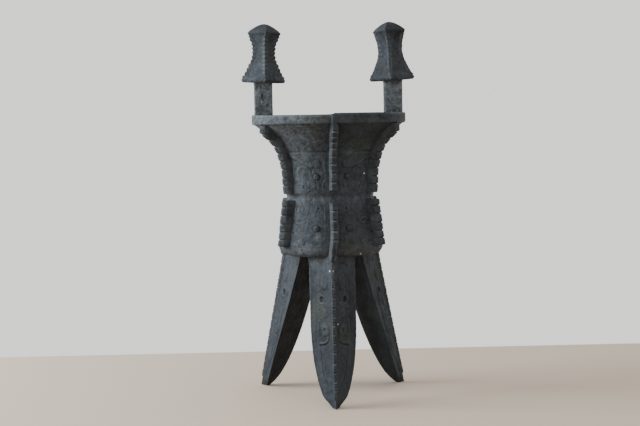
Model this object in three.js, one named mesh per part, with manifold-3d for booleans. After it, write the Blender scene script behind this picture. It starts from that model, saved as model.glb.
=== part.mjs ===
// A jia, an ancient wine vessel of cast bronze: a round flared beaker on three leaf-shaped legs, with two
// capped posts on its rim, a loop handle with an animal's head at the back, and toothed flanges round it.
// It is one casting. Its front is toward -Y, +Z is up, and all sizes are in millimetres.
import * as THREE from 'three';
import { mergeVertices } from 'three/addons/utils/BufferGeometryUtils.js';
import Module from 'manifold-3d';

const wasm = await Module();
wasm.setup();

// Driving dimensions. Heights are measured from the floor that the feet stand on
const MOUTH_RADIUS = 100;
const RIM_TOP = 366;
const RIM_BAND = 13;
const RIM_LIP = 5;
const RIM_DIP = 2.8;
const RIM_EDGE_STEP = 0.8;
const WALL = 4.6;
const NECK_FOOT = 266;
const NECK_RADIUS = 58.8;
const NECK_FLARE = 38;
const FLARE_POWER = 3.2;
const GROOVE_LOW = 254.5;
const GROOVE_HIGH = 261.5;
const GROOVE_RADIUS = 56.6;
const BELLY_TOP = 253;
const BELLY_TOP_RADIUS = 58;
const BELLY_LOW = 194;
const BELLY_LOW_RADIUS = 68;
const BELLY_CORNER = 10;
const FLOOR_THICK = 6;
const INNER_CORNER = 8;
const ROUND_STEPS = 30;

const FLANGE_FACE = 5.2;
const FLANGE_SPLAY = 0.3;
const SPLAY_DEPTH = 12;
const NOTCH_DEPTH = 1.8;
const NOTCH_WIDTH = 2.4;

const LEG_TOP = 187;
const LEG_HALF_WIDTH = 30;
const LEG_FULL_WIDTH_AT = 108;
const FOOT_RIDGE = 113;
const RIDGE_SLOPE = 0.222;
const FOOT_INNER = 101.5;
const LEG_INNER_DROP = 58.5;
const LEG_INNER_HEIGHT = 135;
const LEG_STEPS = 9;
const LEG_STEP_POWER = 1.5;

const POST_SIDE = 23.4;
const POST_CENTRE = 84.3;
const POST_TOP = 411;

const HANDLE_WIDTH = 17;

const BAND_ROOT = 2;
const BAND_TAPER = 0.7;
const BOSS_SIDES = 5;

const NECK_TOP = RIM_TOP - RIM_BAND;
const BELLY_UNDER = BELLY_LOW - BELLY_CORNER;
const TURN = Math.PI * 2;

// Plan directions: azimuth 0 is the front and 90 degrees is the vessel's side toward +X
const turnOf = (degrees) => (degrees * Math.PI) / 180;

function at(azimuth, radius, side, z) {
  const a = turnOf(azimuth);
  return new THREE.Vector3(
    Math.sin(a) * radius + Math.cos(a) * side,
    -Math.cos(a) * radius + Math.sin(a) * side,
    z,
  );
}

// A size that changes with height, read between a few [height, size] pairs
function throughKeys(keys) {
  return (z) => {
    const last = keys.length - 1;
    const low = Math.min(Math.max(keys.findIndex((k) => k[0] >= z) - 1, 0), last - 1);
    const i = z > keys[last][0] ? last - 1 : low;
    const [z0, v0] = keys[i];
    const [z1, v1] = keys[i + 1];
    return v0 + (v1 - v0) * Math.min(Math.max((z - z0) / (z1 - z0), 0), 1);
  };
}

// A closed solid from points and triangles, turned right side out
function solid(points, triangles) {
  let volume = 0;
  for (const [a, b, c] of triangles) {
    volume += points[a].dot(new THREE.Vector3().crossVectors(points[b], points[c]));
  }
  const faces = volume < 0 ? triangles.map(([a, b, c]) => [a, c, b]) : triangles;
  const geometry = new THREE.BufferGeometry();
  geometry.setAttribute('position', new THREE.Float32BufferAttribute(points.flatMap((p) => p.toArray()), 3));
  geometry.setIndex(faces.flat());
  return toManifold(geometry);
}

function toManifold(geometry) {
  geometry.deleteAttribute('normal');
  geometry.deleteAttribute('uv');
  const merged = mergeVertices(geometry, 1e-4);
  return new wasm.Manifold(new wasm.Mesh({
    numProp: 3,
    vertProperties: new Float32Array(merged.getAttribute('position').array),
    triVerts: new Uint32Array(merged.getIndex().array),
  }));
}

// A skin between rings of equal count, closed with a fan at each end
function loft(rings) {
  const count = rings[0].length;
  const triangles = [];
  for (let row = 0; row < rings.length - 1; row += 1) {
    for (let i = 0; i < count; i += 1) {
      const a = row * count + i;
      const b = row * count + ((i + 1) % count);
      triangles.push([a, b, b + count], [a, b + count, a + count]);
    }
  }
  const end = (rings.length - 1) * count;
  for (let i = 1; i < count - 1; i += 1) {
    triangles.push([0, i + 1, i], [end, end + i, end + i + 1]);
  }
  return solid(rings.flat(), triangles);
}

// An upright plate in a plane through the axis, from its [radius, height] outline and its half width there
function plate(azimuth, outline, halfWidth, place = new THREE.Matrix4()) {
  const flat = outline.map(([r, z]) => new THREE.Vector2(r, z));
  const count = outline.length;
  const points = [
    ...outline.map(([r, z]) => at(azimuth, r, -halfWidth(r, z), z)),
    ...outline.map(([r, z]) => at(azimuth, r, halfWidth(r, z), z)),
  ].map((point) => point.applyMatrix4(place));
  const triangles = [];
  for (const [a, b, c] of THREE.ShapeUtils.triangulateShape(flat, [])) {
    triangles.push([a, b, c], [a + count, c + count, b + count]);
  }
  const clockwise = THREE.ShapeUtils.isClockWise(flat);
  for (let i = 0; i < count; i += 1) {
    const j = (i + 1) % count;
    const [near, far] = clockwise ? [i, j] : [j, i];
    triangles.push([near, far, far + count], [near, far + count, near + count]);
  }
  return solid(points, triangles);
}

// A raised band along a path on a surface. place(along, up, rise) gives the surface's own point
function raisedBand(path, width, rise, place) {
  const rings = path.map(([x, y], i) => {
    const [x0, y0] = path[Math.max(i - 1, 0)];
    const [x1, y1] = path[Math.min(i + 1, path.length - 1)];
    const length = Math.hypot(x1 - x0, y1 - y0);
    const half = (i === 0 || i === path.length - 1 ? 0.35 : 0.5) * width;
    const [nx, ny] = [(-(y1 - y0) / length) * half, ((x1 - x0) / length) * half];
    return [
      place(x + nx, y + ny, -BAND_ROOT),
      place(x - nx, y - ny, -BAND_ROOT),
      place(x - nx * BAND_TAPER, y - ny * BAND_TAPER, rise),
      place(x + nx * BAND_TAPER, y + ny * BAND_TAPER, rise),
    ];
  });
  return loft(rings);
}

function boss(x, y, radius, rise, place) {
  const ring = (size, height) => Array.from({ length: BOSS_SIDES }, (_, i) => {
    const a = (i / BOSS_SIDES) * TURN;
    return place(x + Math.cos(a) * size, y + Math.sin(a) * size, height);
  });
  return loft([ring(radius, -BAND_ROOT), ring(radius * BAND_TAPER, rise)]);
}

// Body: the round beaker with its wall, floor and rim. The neck's rows lie closer where it flares

const NECK_ROWS = [0, 0.25, 0.45, 0.65, 0.82, 1];
const flareAt = (z) => (z - NECK_FOOT) / (NECK_TOP - NECK_FOOT);
const neckRadius = (z) => NECK_RADIUS + NECK_FLARE * Math.max(flareAt(z), 0) ** FLARE_POWER;

function bodyRadius(z) {
  if (z >= NECK_FOOT) return neckRadius(z);
  if (z > BELLY_TOP) return GROOVE_RADIUS;
  const down = (BELLY_TOP - z) / (BELLY_TOP - BELLY_LOW);
  return BELLY_TOP_RADIUS + (BELLY_LOW_RADIUS - BELLY_TOP_RADIUS) * Math.min(down, 1);
}

function neckInnerRadius(z) {
  const rise = Math.max(flareAt(z), 0) ** (FLARE_POWER - 1);
  const slope = (FLARE_POWER * NECK_FLARE * rise) / (NECK_TOP - NECK_FOOT);
  return neckRadius(z) - WALL * Math.hypot(1, slope);
}

function beaker() {
  const outer = [[0, BELLY_UNDER]];
  const cornerSteps = 3;
  for (let i = 0; i <= cornerSteps; i += 1) {
    const a = (i / cornerSteps) * (Math.PI / 2);
    outer.push([
      BELLY_LOW_RADIUS - BELLY_CORNER * (1 - Math.sin(a)),
      BELLY_LOW - BELLY_CORNER * Math.cos(a),
    ]);
  }
  outer.push([BELLY_TOP_RADIUS, BELLY_TOP], [GROOVE_RADIUS, GROOVE_LOW], [GROOVE_RADIUS, GROOVE_HIGH]);
  const neckHeights = NECK_ROWS.map((row) => NECK_FOOT + (NECK_TOP - NECK_FOOT) * row);
  for (const z of neckHeights) outer.push([neckRadius(z), z]);
  outer.push([MOUTH_RADIUS, NECK_TOP + RIM_EDGE_STEP], [MOUTH_RADIUS, RIM_TOP]);
  const inner = [[MOUTH_RADIUS - RIM_LIP, RIM_TOP]];
  for (const z of neckHeights.filter((_, row) => row !== 1).reverse()) inner.push([neckInnerRadius(z), z]);
  inner.push([GROOVE_RADIUS - WALL, GROOVE_LOW]);
  inner.push([BELLY_LOW_RADIUS - WALL, BELLY_UNDER + FLOOR_THICK + INNER_CORNER]);
  inner.push([BELLY_LOW_RADIUS - WALL - INNER_CORNER, BELLY_UNDER + FLOOR_THICK]);
  inner.push([0, BELLY_UNDER + FLOOR_THICK]);
  const profile = [...outer, ...inner].map(([r, z]) => new THREE.Vector2(r, z));
  return toManifold(new THREE.LatheGeometry(profile, ROUND_STEPS).rotateX(Math.PI / 2));
}

// The rim's front left quarter sinks toward the front flange, where the mould halves met out of line
function rimDip() {
  const steps = 6;
  const start = -90;
  const rings = Array.from({ length: steps + 1 }, (_, i) => {
    const azimuth = start + ((RIM_SEAM_AZIMUTH - start) * i) / steps;
    const low = RIM_TOP - RIM_DIP * (i / steps) - 0.02;
    const [inside, outside] = [MOUTH_RADIUS - RIM_LIP * 3, MOUTH_RADIUS + RIM_LIP];
    return [
      at(azimuth, inside, 0, low),
      at(azimuth, outside, 0, low),
      at(azimuth, outside, 0, RIM_TOP + 1),
      at(azimuth, inside, 0, RIM_TOP + 1),
    ];
  });
  return loft(rings);
}

// Flanges: toothed ribs down the neck and the belly, one on each sixth of the round. The front one stands a
// little to the right of its leg, and its teeth are longer than those of the others

const FRONT_FLANGE_TURN = 3.2;
const SIDE_BELLY_TOP = 255.5;
const neckFlangeRadius = throughKeys([
  [264, 68.6], [292, 70.8], [304, 73], [314, 76.4], [324, 81.5], [331, 87.5], [338, 96], [343, 101.5],
]);
const bellyFlangeRadius = throughKeys([[BELLY_UNDER - 10, 74.5], [197, 78.6], [SIDE_BELLY_TOP, 71]]);
const FRONT_NECK = { low: 268.5, notches: [279.5, 290.8, 302.4, 312.2, 322, 329.5, 336.5, 343.5] };
const SIDE_NECK = { low: 264, notches: [275, 285, 295.5, 306, 316, 325, 333, 341] };
const FRONT_BELLY = { high: BELLY_TOP, notches: [207, 218.5, 232, 244] };
const SIDE_BELLY = { high: SIDE_BELLY_TOP, notches: [206, 215.5, 225.5, 237, 247.5] };
const NECK_FLANGE_HIGH = 352;
const RIM_SEAM_RADIUS = 101.6;
const RIM_SEAM_AZIMUTH = 2.6;
const RIM_SEAM_HALF = 1.8;
const BELLY_FLANGE_LOW = 197;
const NECK_ROOT_STEPS = 6;
const BELLY_ROOT_STEPS = 1;

// The [radius, height] line up a toothed edge
function toothedEdge(low, high, radiusAt, notches, width, depth) {
  const line = [[radiusAt(low), low]];
  for (const z of notches) {
    line.push([radiusAt(z - width / 2), z - width / 2]);
    line.push([radiusAt(z) - depth, z]);
    line.push([radiusAt(z + width / 2), z + width / 2]);
  }
  line.push([radiusAt(high), high]);
  return line;
}

// Over a leg the belly's flange runs on down and narrows into the leg's ridge
function flangeHalfFace(z) {
  const down = Math.min(Math.max((BELLY_FLANGE_LOW - z) / (BELLY_FLANGE_LOW - RIDGE_HIGH), 0), 1);
  return FLANGE_FACE / 2 + (RIDGE_HALF_WIDTH - FLANGE_FACE / 2) * down;
}

function flange(azimuth, low, high, radiusAt, notches, rootSteps) {
  const outline = toothedEdge(low, high, radiusAt, notches, NOTCH_WIDTH, NOTCH_DEPTH);
  for (let i = 0; i <= rootSteps; i += 1) {
    const z = high + (low - high) * (i / rootSteps);
    outline.push([bodyRadius(z) - WALL / 2, z]);
  }
  const foot = (r, z) => Math.min(Math.max(radiusAt(z) - r, 0), SPLAY_DEPTH) * FLANGE_SPLAY;
  return plate(azimuth, outline, (r, z) => flangeHalfFace(z) + foot(r, z));
}

// The front flange's head runs on up over the rim's band, at the step between the rim's two quarters
function flangeHead() {
  const outline = [
    [MOUTH_RADIUS - 2, NECK_FLANGE_HIGH], [RIM_SEAM_RADIUS, NECK_FLANGE_HIGH],
    [RIM_SEAM_RADIUS, RIM_TOP], [MOUTH_RADIUS - 2, RIM_TOP],
  ];
  return plate(RIM_SEAM_AZIMUTH, outline, () => RIM_SEAM_HALF);
}

// Masks: each spans two sixths of the round, mirrored about a flange, with a boss for each eye

const EYE_ALONG = 21;
const EYE_RADIUS = 3.4;
const EYE_RISE = 2.6;
const RELIEF_RISE = 1.3;
const MASK_STROKES = [
  { width: 4.2, path: [[-12, 4], [-1, 9], [11, 4]] },
  { width: 5.5, path: [[-4, 19], [15, 19], [26, 6], [20, -3]] },
  { width: 5, path: [[-13, -7], [-3, -12.5], [13, -15]] },
];

function halfMask(azimuth, side, eyeHeight, stretch) {
  const place = (x, y, rise) => {
    const z = eyeHeight + y * stretch;
    const radius = bodyRadius(z) + rise;
    const along = ((EYE_ALONG + x) / bodyRadius(eyeHeight)) * side;
    return at(azimuth + (along * 180) / Math.PI, radius, 0, z);
  };
  const strokes = MASK_STROKES.map(({ width, path }) => raisedBand(path, width, RELIEF_RISE, place));
  return [boss(0, 0, EYE_RADIUS, EYE_RISE, place), ...strokes];
}

// Blades rise on the flare above the masks, two to each sixth of the round
const BLADE_FOOT = 321;
const BLADE_TIP = 346;
const BLADE_TURN = 8.5;

function blade(azimuth) {
  const corners = [[-BLADE_TURN, BLADE_FOOT], [0, BLADE_TIP], [BLADE_TURN, BLADE_FOOT]];
  const ring = (rise) => corners.map(([turn, z]) => at(azimuth + turn, bodyRadius(z) + rise, 0, z));
  return loft([ring(-BAND_ROOT), ring(RELIEF_RISE)]);
}

// Legs: three leaf-shaped blades of triangular section, with the sharp ridge outward

const ridgeRadius = (z) => FOOT_RIDGE - RIDGE_SLOPE * z;
const innerFaceRadius = (z) => FOOT_INNER - LEG_INNER_DROP * (z / LEG_INNER_HEIGHT) ** 0.75;

function legHalfWidth(z) {
  const rest = Math.max(1 - (z + 3) / LEG_FULL_WIDTH_AT, 0);
  return LEG_HALF_WIDTH * Math.sqrt(1 - rest ** 2);
}

function leg(azimuth) {
  const rings = Array.from({ length: LEG_STEPS + 1 }, (_, i) => {
    const z = LEG_TOP * (i / LEG_STEPS) ** LEG_STEP_POWER;
    return [
      at(azimuth, ridgeRadius(z), 0, z),
      at(azimuth, innerFaceRadius(z), legHalfWidth(z), z),
      at(azimuth, innerFaceRadius(z), -legHalfWidth(z), z),
    ];
  });
  return loft(rings);
}

// The ridge's row of small teeth
const TOOTH_PITCH = 12.6;
const TOOTH_DEPTH = 1.3;
const RIDGE_HALF_WIDTH = 1.7;
const RIDGE_PROUD = 1.5;
const RIDGE_LOW = 12;
const RIDGE_HIGH = 181;

function legRidge(azimuth) {
  const radiusAt = (z) => ridgeRadius(z) + RIDGE_PROUD;
  const notches = [];
  for (let z = RIDGE_LOW + TOOTH_PITCH; z < RIDGE_HIGH - TOOTH_PITCH / 2; z += TOOTH_PITCH) notches.push(z);
  const outline = toothedEdge(RIDGE_LOW, RIDGE_HIGH, radiusAt, notches, NOTCH_WIDTH, TOOTH_DEPTH);
  outline.push([radiusAt(RIDGE_HIGH) - 6, RIDGE_HIGH], [radiusAt(RIDGE_LOW) - 5, RIDGE_LOW]);
  return plate(azimuth, outline, () => RIDGE_HALF_WIDTH);
}

// Each outer face of a leg has two studs, and hooked bands above and below them
const LEG_STUDS = [115, 100];
const LEG_STROKES = [
  { width: 4.5, path: [[9, 148], [21, 148], [22, 132]] },
  { width: 4.5, path: [[8, 84], [19, 82], [13, 64]] },
];
const STUD_ALONG = 15;

function legRelief(azimuth, side) {
  const place = (x, z, rise) => {
    const depth = ridgeRadius(z) - innerFaceRadius(z);
    const width = legHalfWidth(z);
    const length = Math.hypot(depth, width);
    const across = x / length;
    return at(
      azimuth,
      ridgeRadius(z) - depth * across + (rise * width) / length,
      side * (width * across + (rise * depth) / length),
      z,
    );
  };
  return [
    ...LEG_STUDS.map((z) => boss(STUD_ALONG, z, EYE_RADIUS, EYE_RISE / 2, place)),
    ...LEG_STROKES.map(({ width, path }) => raisedBand(path, width, RELIEF_RISE, place)),
  ];
}

// Posts: two square uprights that stand on the rim and run down its inner face

function post(side) {
  const inner = POST_CENTRE - POST_SIDE / 2;
  const outer = POST_CENTRE + POST_SIDE / 2;
  const outline = [
    [inner, POST_TOP], [inner, 352], [inner + 5, 343], [inner + 12.5, 348],
    [outer - 3, 355], [outer, 361], [outer, POST_TOP],
  ];
  return plate(90 * side, outline, () => POST_SIDE / 2);
}

// Caps: four-sided finials, waisted, with a flared skirt and a low roof, turned corner to the front. Both
// lean inward a little. The left one has a slimmer waist, and the right one is rubbed down

const CAP_KEYS = [
  [407.6, 26.2], [410.5, 28], [413.5, 26.9], [418, 23.2], [425, 20], [434, 16.9], [445, 15.1], [456, 15.9],
  [465, 18.6], [471, 22], [477, 14.6], [484, 0.8],
];
const CAPS = [
  { side: -1, lean: 2.3, skirt: 1.04, waist: 0.93, proud: 1.2 },
  { side: 1, lean: 2.8, skirt: 1.06, waist: 1, proud: 0.9 },
];
const CAP_OUTER = 113.3;
const SKIRT_REACH = 28;
const SKIRT_TOP = 434;
const WAIST_TOP = 460;
const CAP_NOTCH_LOW = 416;
const CAP_NOTCH_HIGH = 465;
const CAP_NOTCH_PITCH = 8;
const CAP_NOTCH_DEPTH = 0.8;
const CAP_RIDGE_ROOT = 12;
const CAP_RIDGE_OVER = 2;
const QUARTERS = [0, 90, 180, 270];

function cap({ side, lean, skirt, waist, proud }) {
  const keys = CAP_KEYS.map(([z, reach]) => {
    if (z < SKIRT_TOP) return [z, reach * skirt];
    return [z, reach * (z < WAIST_TOP ? waist : 1)];
  });
  const reachAt = throughKeys(keys);
  const place = new THREE.Matrix4()
    .makeTranslation(side * (CAP_OUTER - SKIRT_REACH * skirt), 0, POST_TOP)
    .multiply(new THREE.Matrix4().makeRotationY(turnOf(-side * lean)))
    .multiply(new THREE.Matrix4().makeTranslation(0, 0, -POST_TOP));
  const ring = (z) => QUARTERS.map((turn) => at(turn, reachAt(z), 0, z).applyMatrix4(place));
  const notches = [];
  for (let z = CAP_NOTCH_LOW; z <= CAP_NOTCH_HIGH; z += CAP_NOTCH_PITCH) notches.push(z);
  const [low, high] = [CAP_NOTCH_LOW - CAP_RIDGE_OVER, CAP_NOTCH_HIGH + CAP_RIDGE_OVER];
  const outline = toothedEdge(low, high, (z) => reachAt(z) + proud, notches, NOTCH_WIDTH, CAP_NOTCH_DEPTH);
  outline.push([CAP_RIDGE_ROOT, high], [CAP_RIDGE_ROOT, low]);
  const ridges = QUARTERS.map((turn) => plate(turn, outline, () => RIDGE_HALF_WIDTH, place));
  return [loft(keys.map(([z]) => ring(z))), ...ridges];
}

// Handle: a D-shaped loop behind the body, with the animal's head on its shoulder

function handleLoop() {
  const outside = new THREE.Shape();
  outside.moveTo(71.5, 331.5);
  outside.lineTo(96, 334);
  outside.bezierCurveTo(112, 334, 121, 320, 120.5, 296);
  outside.bezierCurveTo(120, 268, 108, 246, 84, 229);
  outside.lineTo(65, 208);
  outside.lineTo(58.5, 238);
  outside.lineTo(68, 243);
  outside.bezierCurveTo(84, 240, 104.5, 262, 104.5, 288);
  outside.bezierCurveTo(104.5, 306, 94, 317, 82, 318);
  outside.lineTo(63, 316);
  outside.closePath();
  const outline = outside.extractPoints(5).shape.map((p) => [p.x, p.y]).slice(0, -1);
  return plate(180, outline, () => HANDLE_WIDTH / 2);
}

// The head's rings run from the loop to the end of its upturned snout: [radius, low, high, half width]
const HEAD_RINGS = [
  [104, 291, 331, 8.5], [107, 287, 333, 12.5], [113, 283, 331, 14], [119, 281, 322, 13],
  [125, 283, 312, 9.5], [131, 287, 306, 7.5], [136, 292, 305, 6.5], [138.5, 297, 303, 4],
];

function animalHead() {
  const rings = HEAD_RINGS.map(([radius, low, high, half]) => {
    const middle = (low + high) / 2;
    const corner = [[half * 0.55, low], [half, middle - (middle - low) * 0.5], [half, high - 4], [half * 0.5, high]];
    const right = corner.map(([side, z]) => at(180, radius, side, z));
    const left = corner.map(([side, z]) => at(180, radius, -side, z)).reverse();
    return [...right, ...left];
  });
  return loft(rings);
}

// Horns and eyes of the head, on one side of it
function headParts(side) {
  const hornRings = [
    [104, 7, 326, 4.5], [107, 12, 333, 4.4], [112, 17, 335.5, 3.8], [118, 18.5, 334.5, 2.4],
  ].map(([radius, out, z, size]) => Array.from({ length: BOSS_SIDES }, (_, i) => {
    const a = (i / BOSS_SIDES) * TURN;
    return at(180, radius, side * (out + Math.cos(a) * size), z + Math.sin(a) * size);
  }));
  const eye = boss(0, 0, EYE_RADIUS, EYE_RISE, (x, y, rise) => at(180, 115 + x, side * (12.5 + rise), 311 + y));
  return [loft(hornRings), eye];
}

function casting() {
  const parts = [flangeHead(), handleLoop(), animalHead(), ...headParts(1), ...headParts(-1)];
  for (let i = 0; i < 6; i += 1) {
    const azimuth = i * 60;
    const overLeg = i % 2 === 0;
    const inFront = azimuth === 0;
    const behindHandle = azimuth === 180;
    if (!behindHandle) {
      const turn = azimuth + (inFront ? FRONT_FLANGE_TURN : 0);
      const neck = inFront ? FRONT_NECK : SIDE_NECK;
      parts.push(flange(turn, neck.low, NECK_FLANGE_HIGH, neckFlangeRadius, neck.notches, NECK_ROOT_STEPS));
      const belly = inFront ? FRONT_BELLY : SIDE_BELLY;
      const low = overLeg ? BELLY_UNDER - 4 : BELLY_FLANGE_LOW;
      parts.push(flange(turn, low, belly.high, bellyFlangeRadius, belly.notches, BELLY_ROOT_STEPS));
    }
    if (overLeg) {
      parts.push(leg(azimuth), legRidge(azimuth));
      for (const side of [1, -1]) {
        parts.push(...legRelief(azimuth, side));
        parts.push(...halfMask(azimuth, side, 287, 0.95));
        parts.push(...halfMask(azimuth, side, 220, 1.1));
      }
    }
    parts.push(blade(azimuth + 17), blade(azimuth + 43));
  }
  for (const side of [1, -1]) parts.push(post(side));
  for (const form of CAPS) parts.push(...cap(form));
  const whole = parts.reduce((sum, part) => sum.add(part), beaker());
  return whole.subtract(rimDip());
}

const bronze = new THREE.MeshStandardMaterial({ color: 0x39454a, roughness: 0.72, metalness: 0.35 });

const cast = casting().getMesh();
const geometry = new THREE.BufferGeometry();
geometry.setAttribute('position', new THREE.BufferAttribute(cast.vertProperties, 3));
geometry.setIndex(new THREE.BufferAttribute(cast.triVerts, 1));
geometry.computeBoundingBox();

// The origin is on the floor, below the middle of the vessel's whole extent
const middle = geometry.boundingBox.getCenter(new THREE.Vector3());
const vessel = new THREE.Mesh(geometry, bronze);
vessel.name = 'jia_vessel';
vessel.position.set(-middle.x, -middle.y, -geometry.boundingBox.min.z);

const jia = new THREE.Group();
jia.add(vessel);

export default jia;
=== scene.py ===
import math

import bmesh
import bpy
import numpy as np
from mathutils import Matrix, Vector


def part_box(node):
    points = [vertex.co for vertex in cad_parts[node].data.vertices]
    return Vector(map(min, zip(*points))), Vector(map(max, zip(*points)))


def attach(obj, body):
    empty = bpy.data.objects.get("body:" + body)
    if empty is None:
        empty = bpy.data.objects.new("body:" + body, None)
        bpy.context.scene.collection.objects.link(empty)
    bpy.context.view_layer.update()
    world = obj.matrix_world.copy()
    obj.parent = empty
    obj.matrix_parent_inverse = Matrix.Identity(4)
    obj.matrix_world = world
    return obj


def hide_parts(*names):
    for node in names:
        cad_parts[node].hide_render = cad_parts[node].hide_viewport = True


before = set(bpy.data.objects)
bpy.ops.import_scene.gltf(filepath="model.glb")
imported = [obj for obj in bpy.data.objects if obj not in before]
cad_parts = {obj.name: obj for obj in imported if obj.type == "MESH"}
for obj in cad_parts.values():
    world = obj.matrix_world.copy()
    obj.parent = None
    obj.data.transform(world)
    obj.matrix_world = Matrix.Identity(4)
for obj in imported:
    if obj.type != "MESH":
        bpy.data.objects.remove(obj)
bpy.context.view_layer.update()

# The camera: level with the upper neck, a little left of the front, tilted down to the legs and very
# slightly rolled, with the lens of a short telephoto. Sizes are metres and degrees.
CAMERA_DISTANCE = 1.686
CAMERA_HEIGHT = 0.3514
CAMERA_AZIMUTH = -1.21
CAMERA_TILT_DOWN = 3.9
CAMERA_AIM_LEFT = 0.463
CAMERA_ROLL = -1.14
PHOTO_WIDTH_PX = 640
FOCAL_LENGTH_PX = 1290
SENSOR_MM = 36.0

# The vessel's round body stands on an axis that the front foot's ridge is this far from
FRONT_FOOT_REACH = 113.0
MM = 0.001

low_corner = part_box("jia_vessel")[0]
AXIS = Vector((0.0, low_corner.y + FRONT_FOOT_REACH * MM, 0.0))

camera_data = bpy.data.cameras.new("camera")
camera_data.sensor_width = SENSOR_MM
camera_data.lens = FOCAL_LENGTH_PX / PHOTO_WIDTH_PX * SENSOR_MM
camera = bpy.data.objects.new("camera", camera_data)
bpy.context.scene.collection.objects.link(camera)
bpy.context.scene.camera = camera
azimuth = math.radians(CAMERA_AZIMUTH)
camera.location = AXIS + Vector((
    math.sin(azimuth) * CAMERA_DISTANCE,
    -math.cos(azimuth) * CAMERA_DISTANCE,
    CAMERA_HEIGHT,
))
turn = Matrix.Rotation(azimuth + math.radians(CAMERA_AIM_LEFT), 4, "Z")
tilt = Matrix.Rotation(math.radians(90 - CAMERA_TILT_DOWN), 4, "X")
roll = Matrix.Rotation(math.radians(CAMERA_ROLL), 4, "Z")
camera.matrix_world = Matrix.Translation(camera.location) @ turn @ tilt @ roll

# The floor: a wide plain pale sheet that ends a little behind the vessel, and a pale world around it.
FLOOR_REACH = 4.0
FLOOR_BEHIND = 0.3
FLOOR_COLOUR = (0.41, 0.335, 0.26, 1.0)
WORLD_COLOUR = (1.0, 0.985, 0.965, 1.0)
WORLD_STRENGTH = 1.3

floor_mesh = bpy.data.meshes.new("floor")
floor_mesh.from_pydata(
    [(-FLOOR_REACH, -FLOOR_REACH, 0), (FLOOR_REACH, -FLOOR_REACH, 0),
     (FLOOR_REACH, FLOOR_BEHIND, 0), (-FLOOR_REACH, FLOOR_BEHIND, 0)],
    [], [(0, 1, 2, 3)])
floor = bpy.data.objects.new("floor", floor_mesh)
bpy.context.scene.collection.objects.link(floor)
floor_paint = bpy.data.materials.new("pale_floor")
floor_paint.use_nodes = True
floor_shader = floor_paint.node_tree.nodes["Principled BSDF"]
floor_shader.inputs["Base Color"].default_value = FLOOR_COLOUR
floor_shader.inputs["Roughness"].default_value = 0.8
floor_mesh.materials.append(floor_paint)

world = bpy.data.worlds.new("pale_surround")
bpy.context.scene.world = world
world.use_nodes = True
world.node_tree.nodes["Background"].inputs["Color"].default_value = WORLD_COLOUR
world.node_tree.nodes["Background"].inputs["Strength"].default_value = WORLD_STRENGTH


# The light: one large soft box of cool light, a little above the vessel and straight from its left, so that
# the left of the body is lit and the right half past the front flange stays dark.
def softbox(name, place, aim, width, height, watts, colour):
    data = bpy.data.lights.new(name, "AREA")
    data.shape = "RECTANGLE"
    data.size = width
    data.size_y = height
    data.energy = watts
    data.color = colour
    lamp = bpy.data.objects.new(name, data)
    bpy.context.scene.collection.objects.link(lamp)
    lamp.location = place
    lamp.rotation_euler = (Vector(aim) - Vector(place)).to_track_quat("-Z", "Y").to_euler()


SOFTBOX_PLACE = (-1.8, -0.12, 0.85)
SOFTBOX_AIM = (0.0, 0.0, 0.24)
SOFTBOX_WIDTH, SOFTBOX_HEIGHT, SOFTBOX_WATTS = 1.1, 0.9, 84
COOL_LIGHT = (0.84, 0.94, 1.0)
softbox("window", SOFTBOX_PLACE, SOFTBOX_AIM, SOFTBOX_WIDTH, SOFTBOX_HEIGHT, SOFTBOX_WATTS, COOL_LIGHT)


# The beaker: the round body of the vessel with its belly, groove, flared neck and rim, cast in bronze with
# masks in low relief in clay piece-moulds. Its wall is under 5 mm thick and its mouth is open.
RIM_TOP = 366.0
RIM_LOW = 353.0
MOUTH_RADIUS = 100.0
RIM_DIP = 2.8
WALL = 4.6
NECK_FOOT = 266.0
NECK_RADIUS = 58.8
NECK_FLARE = 38.0
FLARE_POWER = 3.2
GROOVE_LOW, GROOVE_HIGH, GROOVE_RADIUS = 254.5, 261.5, 56.6
BELLY_TOP, BELLY_TOP_RADIUS = 253.0, 58.0
BELLY_LOW, BELLY_LOW_RADIUS, BELLY_CORNER = 194.0, 68.0, 10.0
FLOOR_THICK = 6.0
NECK_EYE, BELLY_EYE = 286.0, 220.5
SIXTH_COLUMNS = 60
FINE_STEP = 1.08


def neck_radius(z):
    flare = np.maximum((z - NECK_FOOT) / (RIM_LOW - NECK_FOOT), 0.0)
    return NECK_RADIUS + NECK_FLARE * flare ** FLARE_POWER


def body_radius(z):
    z = np.asarray(z, float)
    down = np.clip((BELLY_TOP - z) / (BELLY_TOP - BELLY_LOW), 0.0, 1.0)
    belly = BELLY_TOP_RADIUS + (BELLY_LOW_RADIUS - BELLY_TOP_RADIUS) * down
    return np.where(z >= NECK_FOOT, neck_radius(z), np.where(z > BELLY_TOP, GROOVE_RADIUS, belly))


def spaced(points, step):
    """Points along a line of [radius, height] points, no further apart than step, without the last one."""
    points = np.asarray(points, float)
    out = []
    for a, b in zip(points[:-1], points[1:]):
        count = max(1, math.ceil(np.linalg.norm(b - a) / step))
        out.extend(a + (b - a) * i / count for i in range(count))
    return out


def smooth_path(points, per_span=8):
    """A smooth line through the points given, as an array."""
    p = np.asarray(points, float)
    p = np.vstack([2 * p[0] - p[1], p, 2 * p[-1] - p[-2]])
    t = np.linspace(0, 1, per_span, endpoint=False)[:, None]
    spans = []
    for a, b, c, d in zip(p[:-3], p[1:-2], p[2:-1], p[3:]):
        spans.append(0.5 * (2 * b + (c - a) * t + (2 * a - 5 * b + 4 * c - d) * t ** 2
                            + (3 * b - a - 3 * c + d) * t ** 3))
    return np.vstack(spans + [p[-2:-1]])


def soft_step(value):
    value = np.clip(value, 0.0, 1.0)
    return value * value * (3 - 2 * value)


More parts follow.
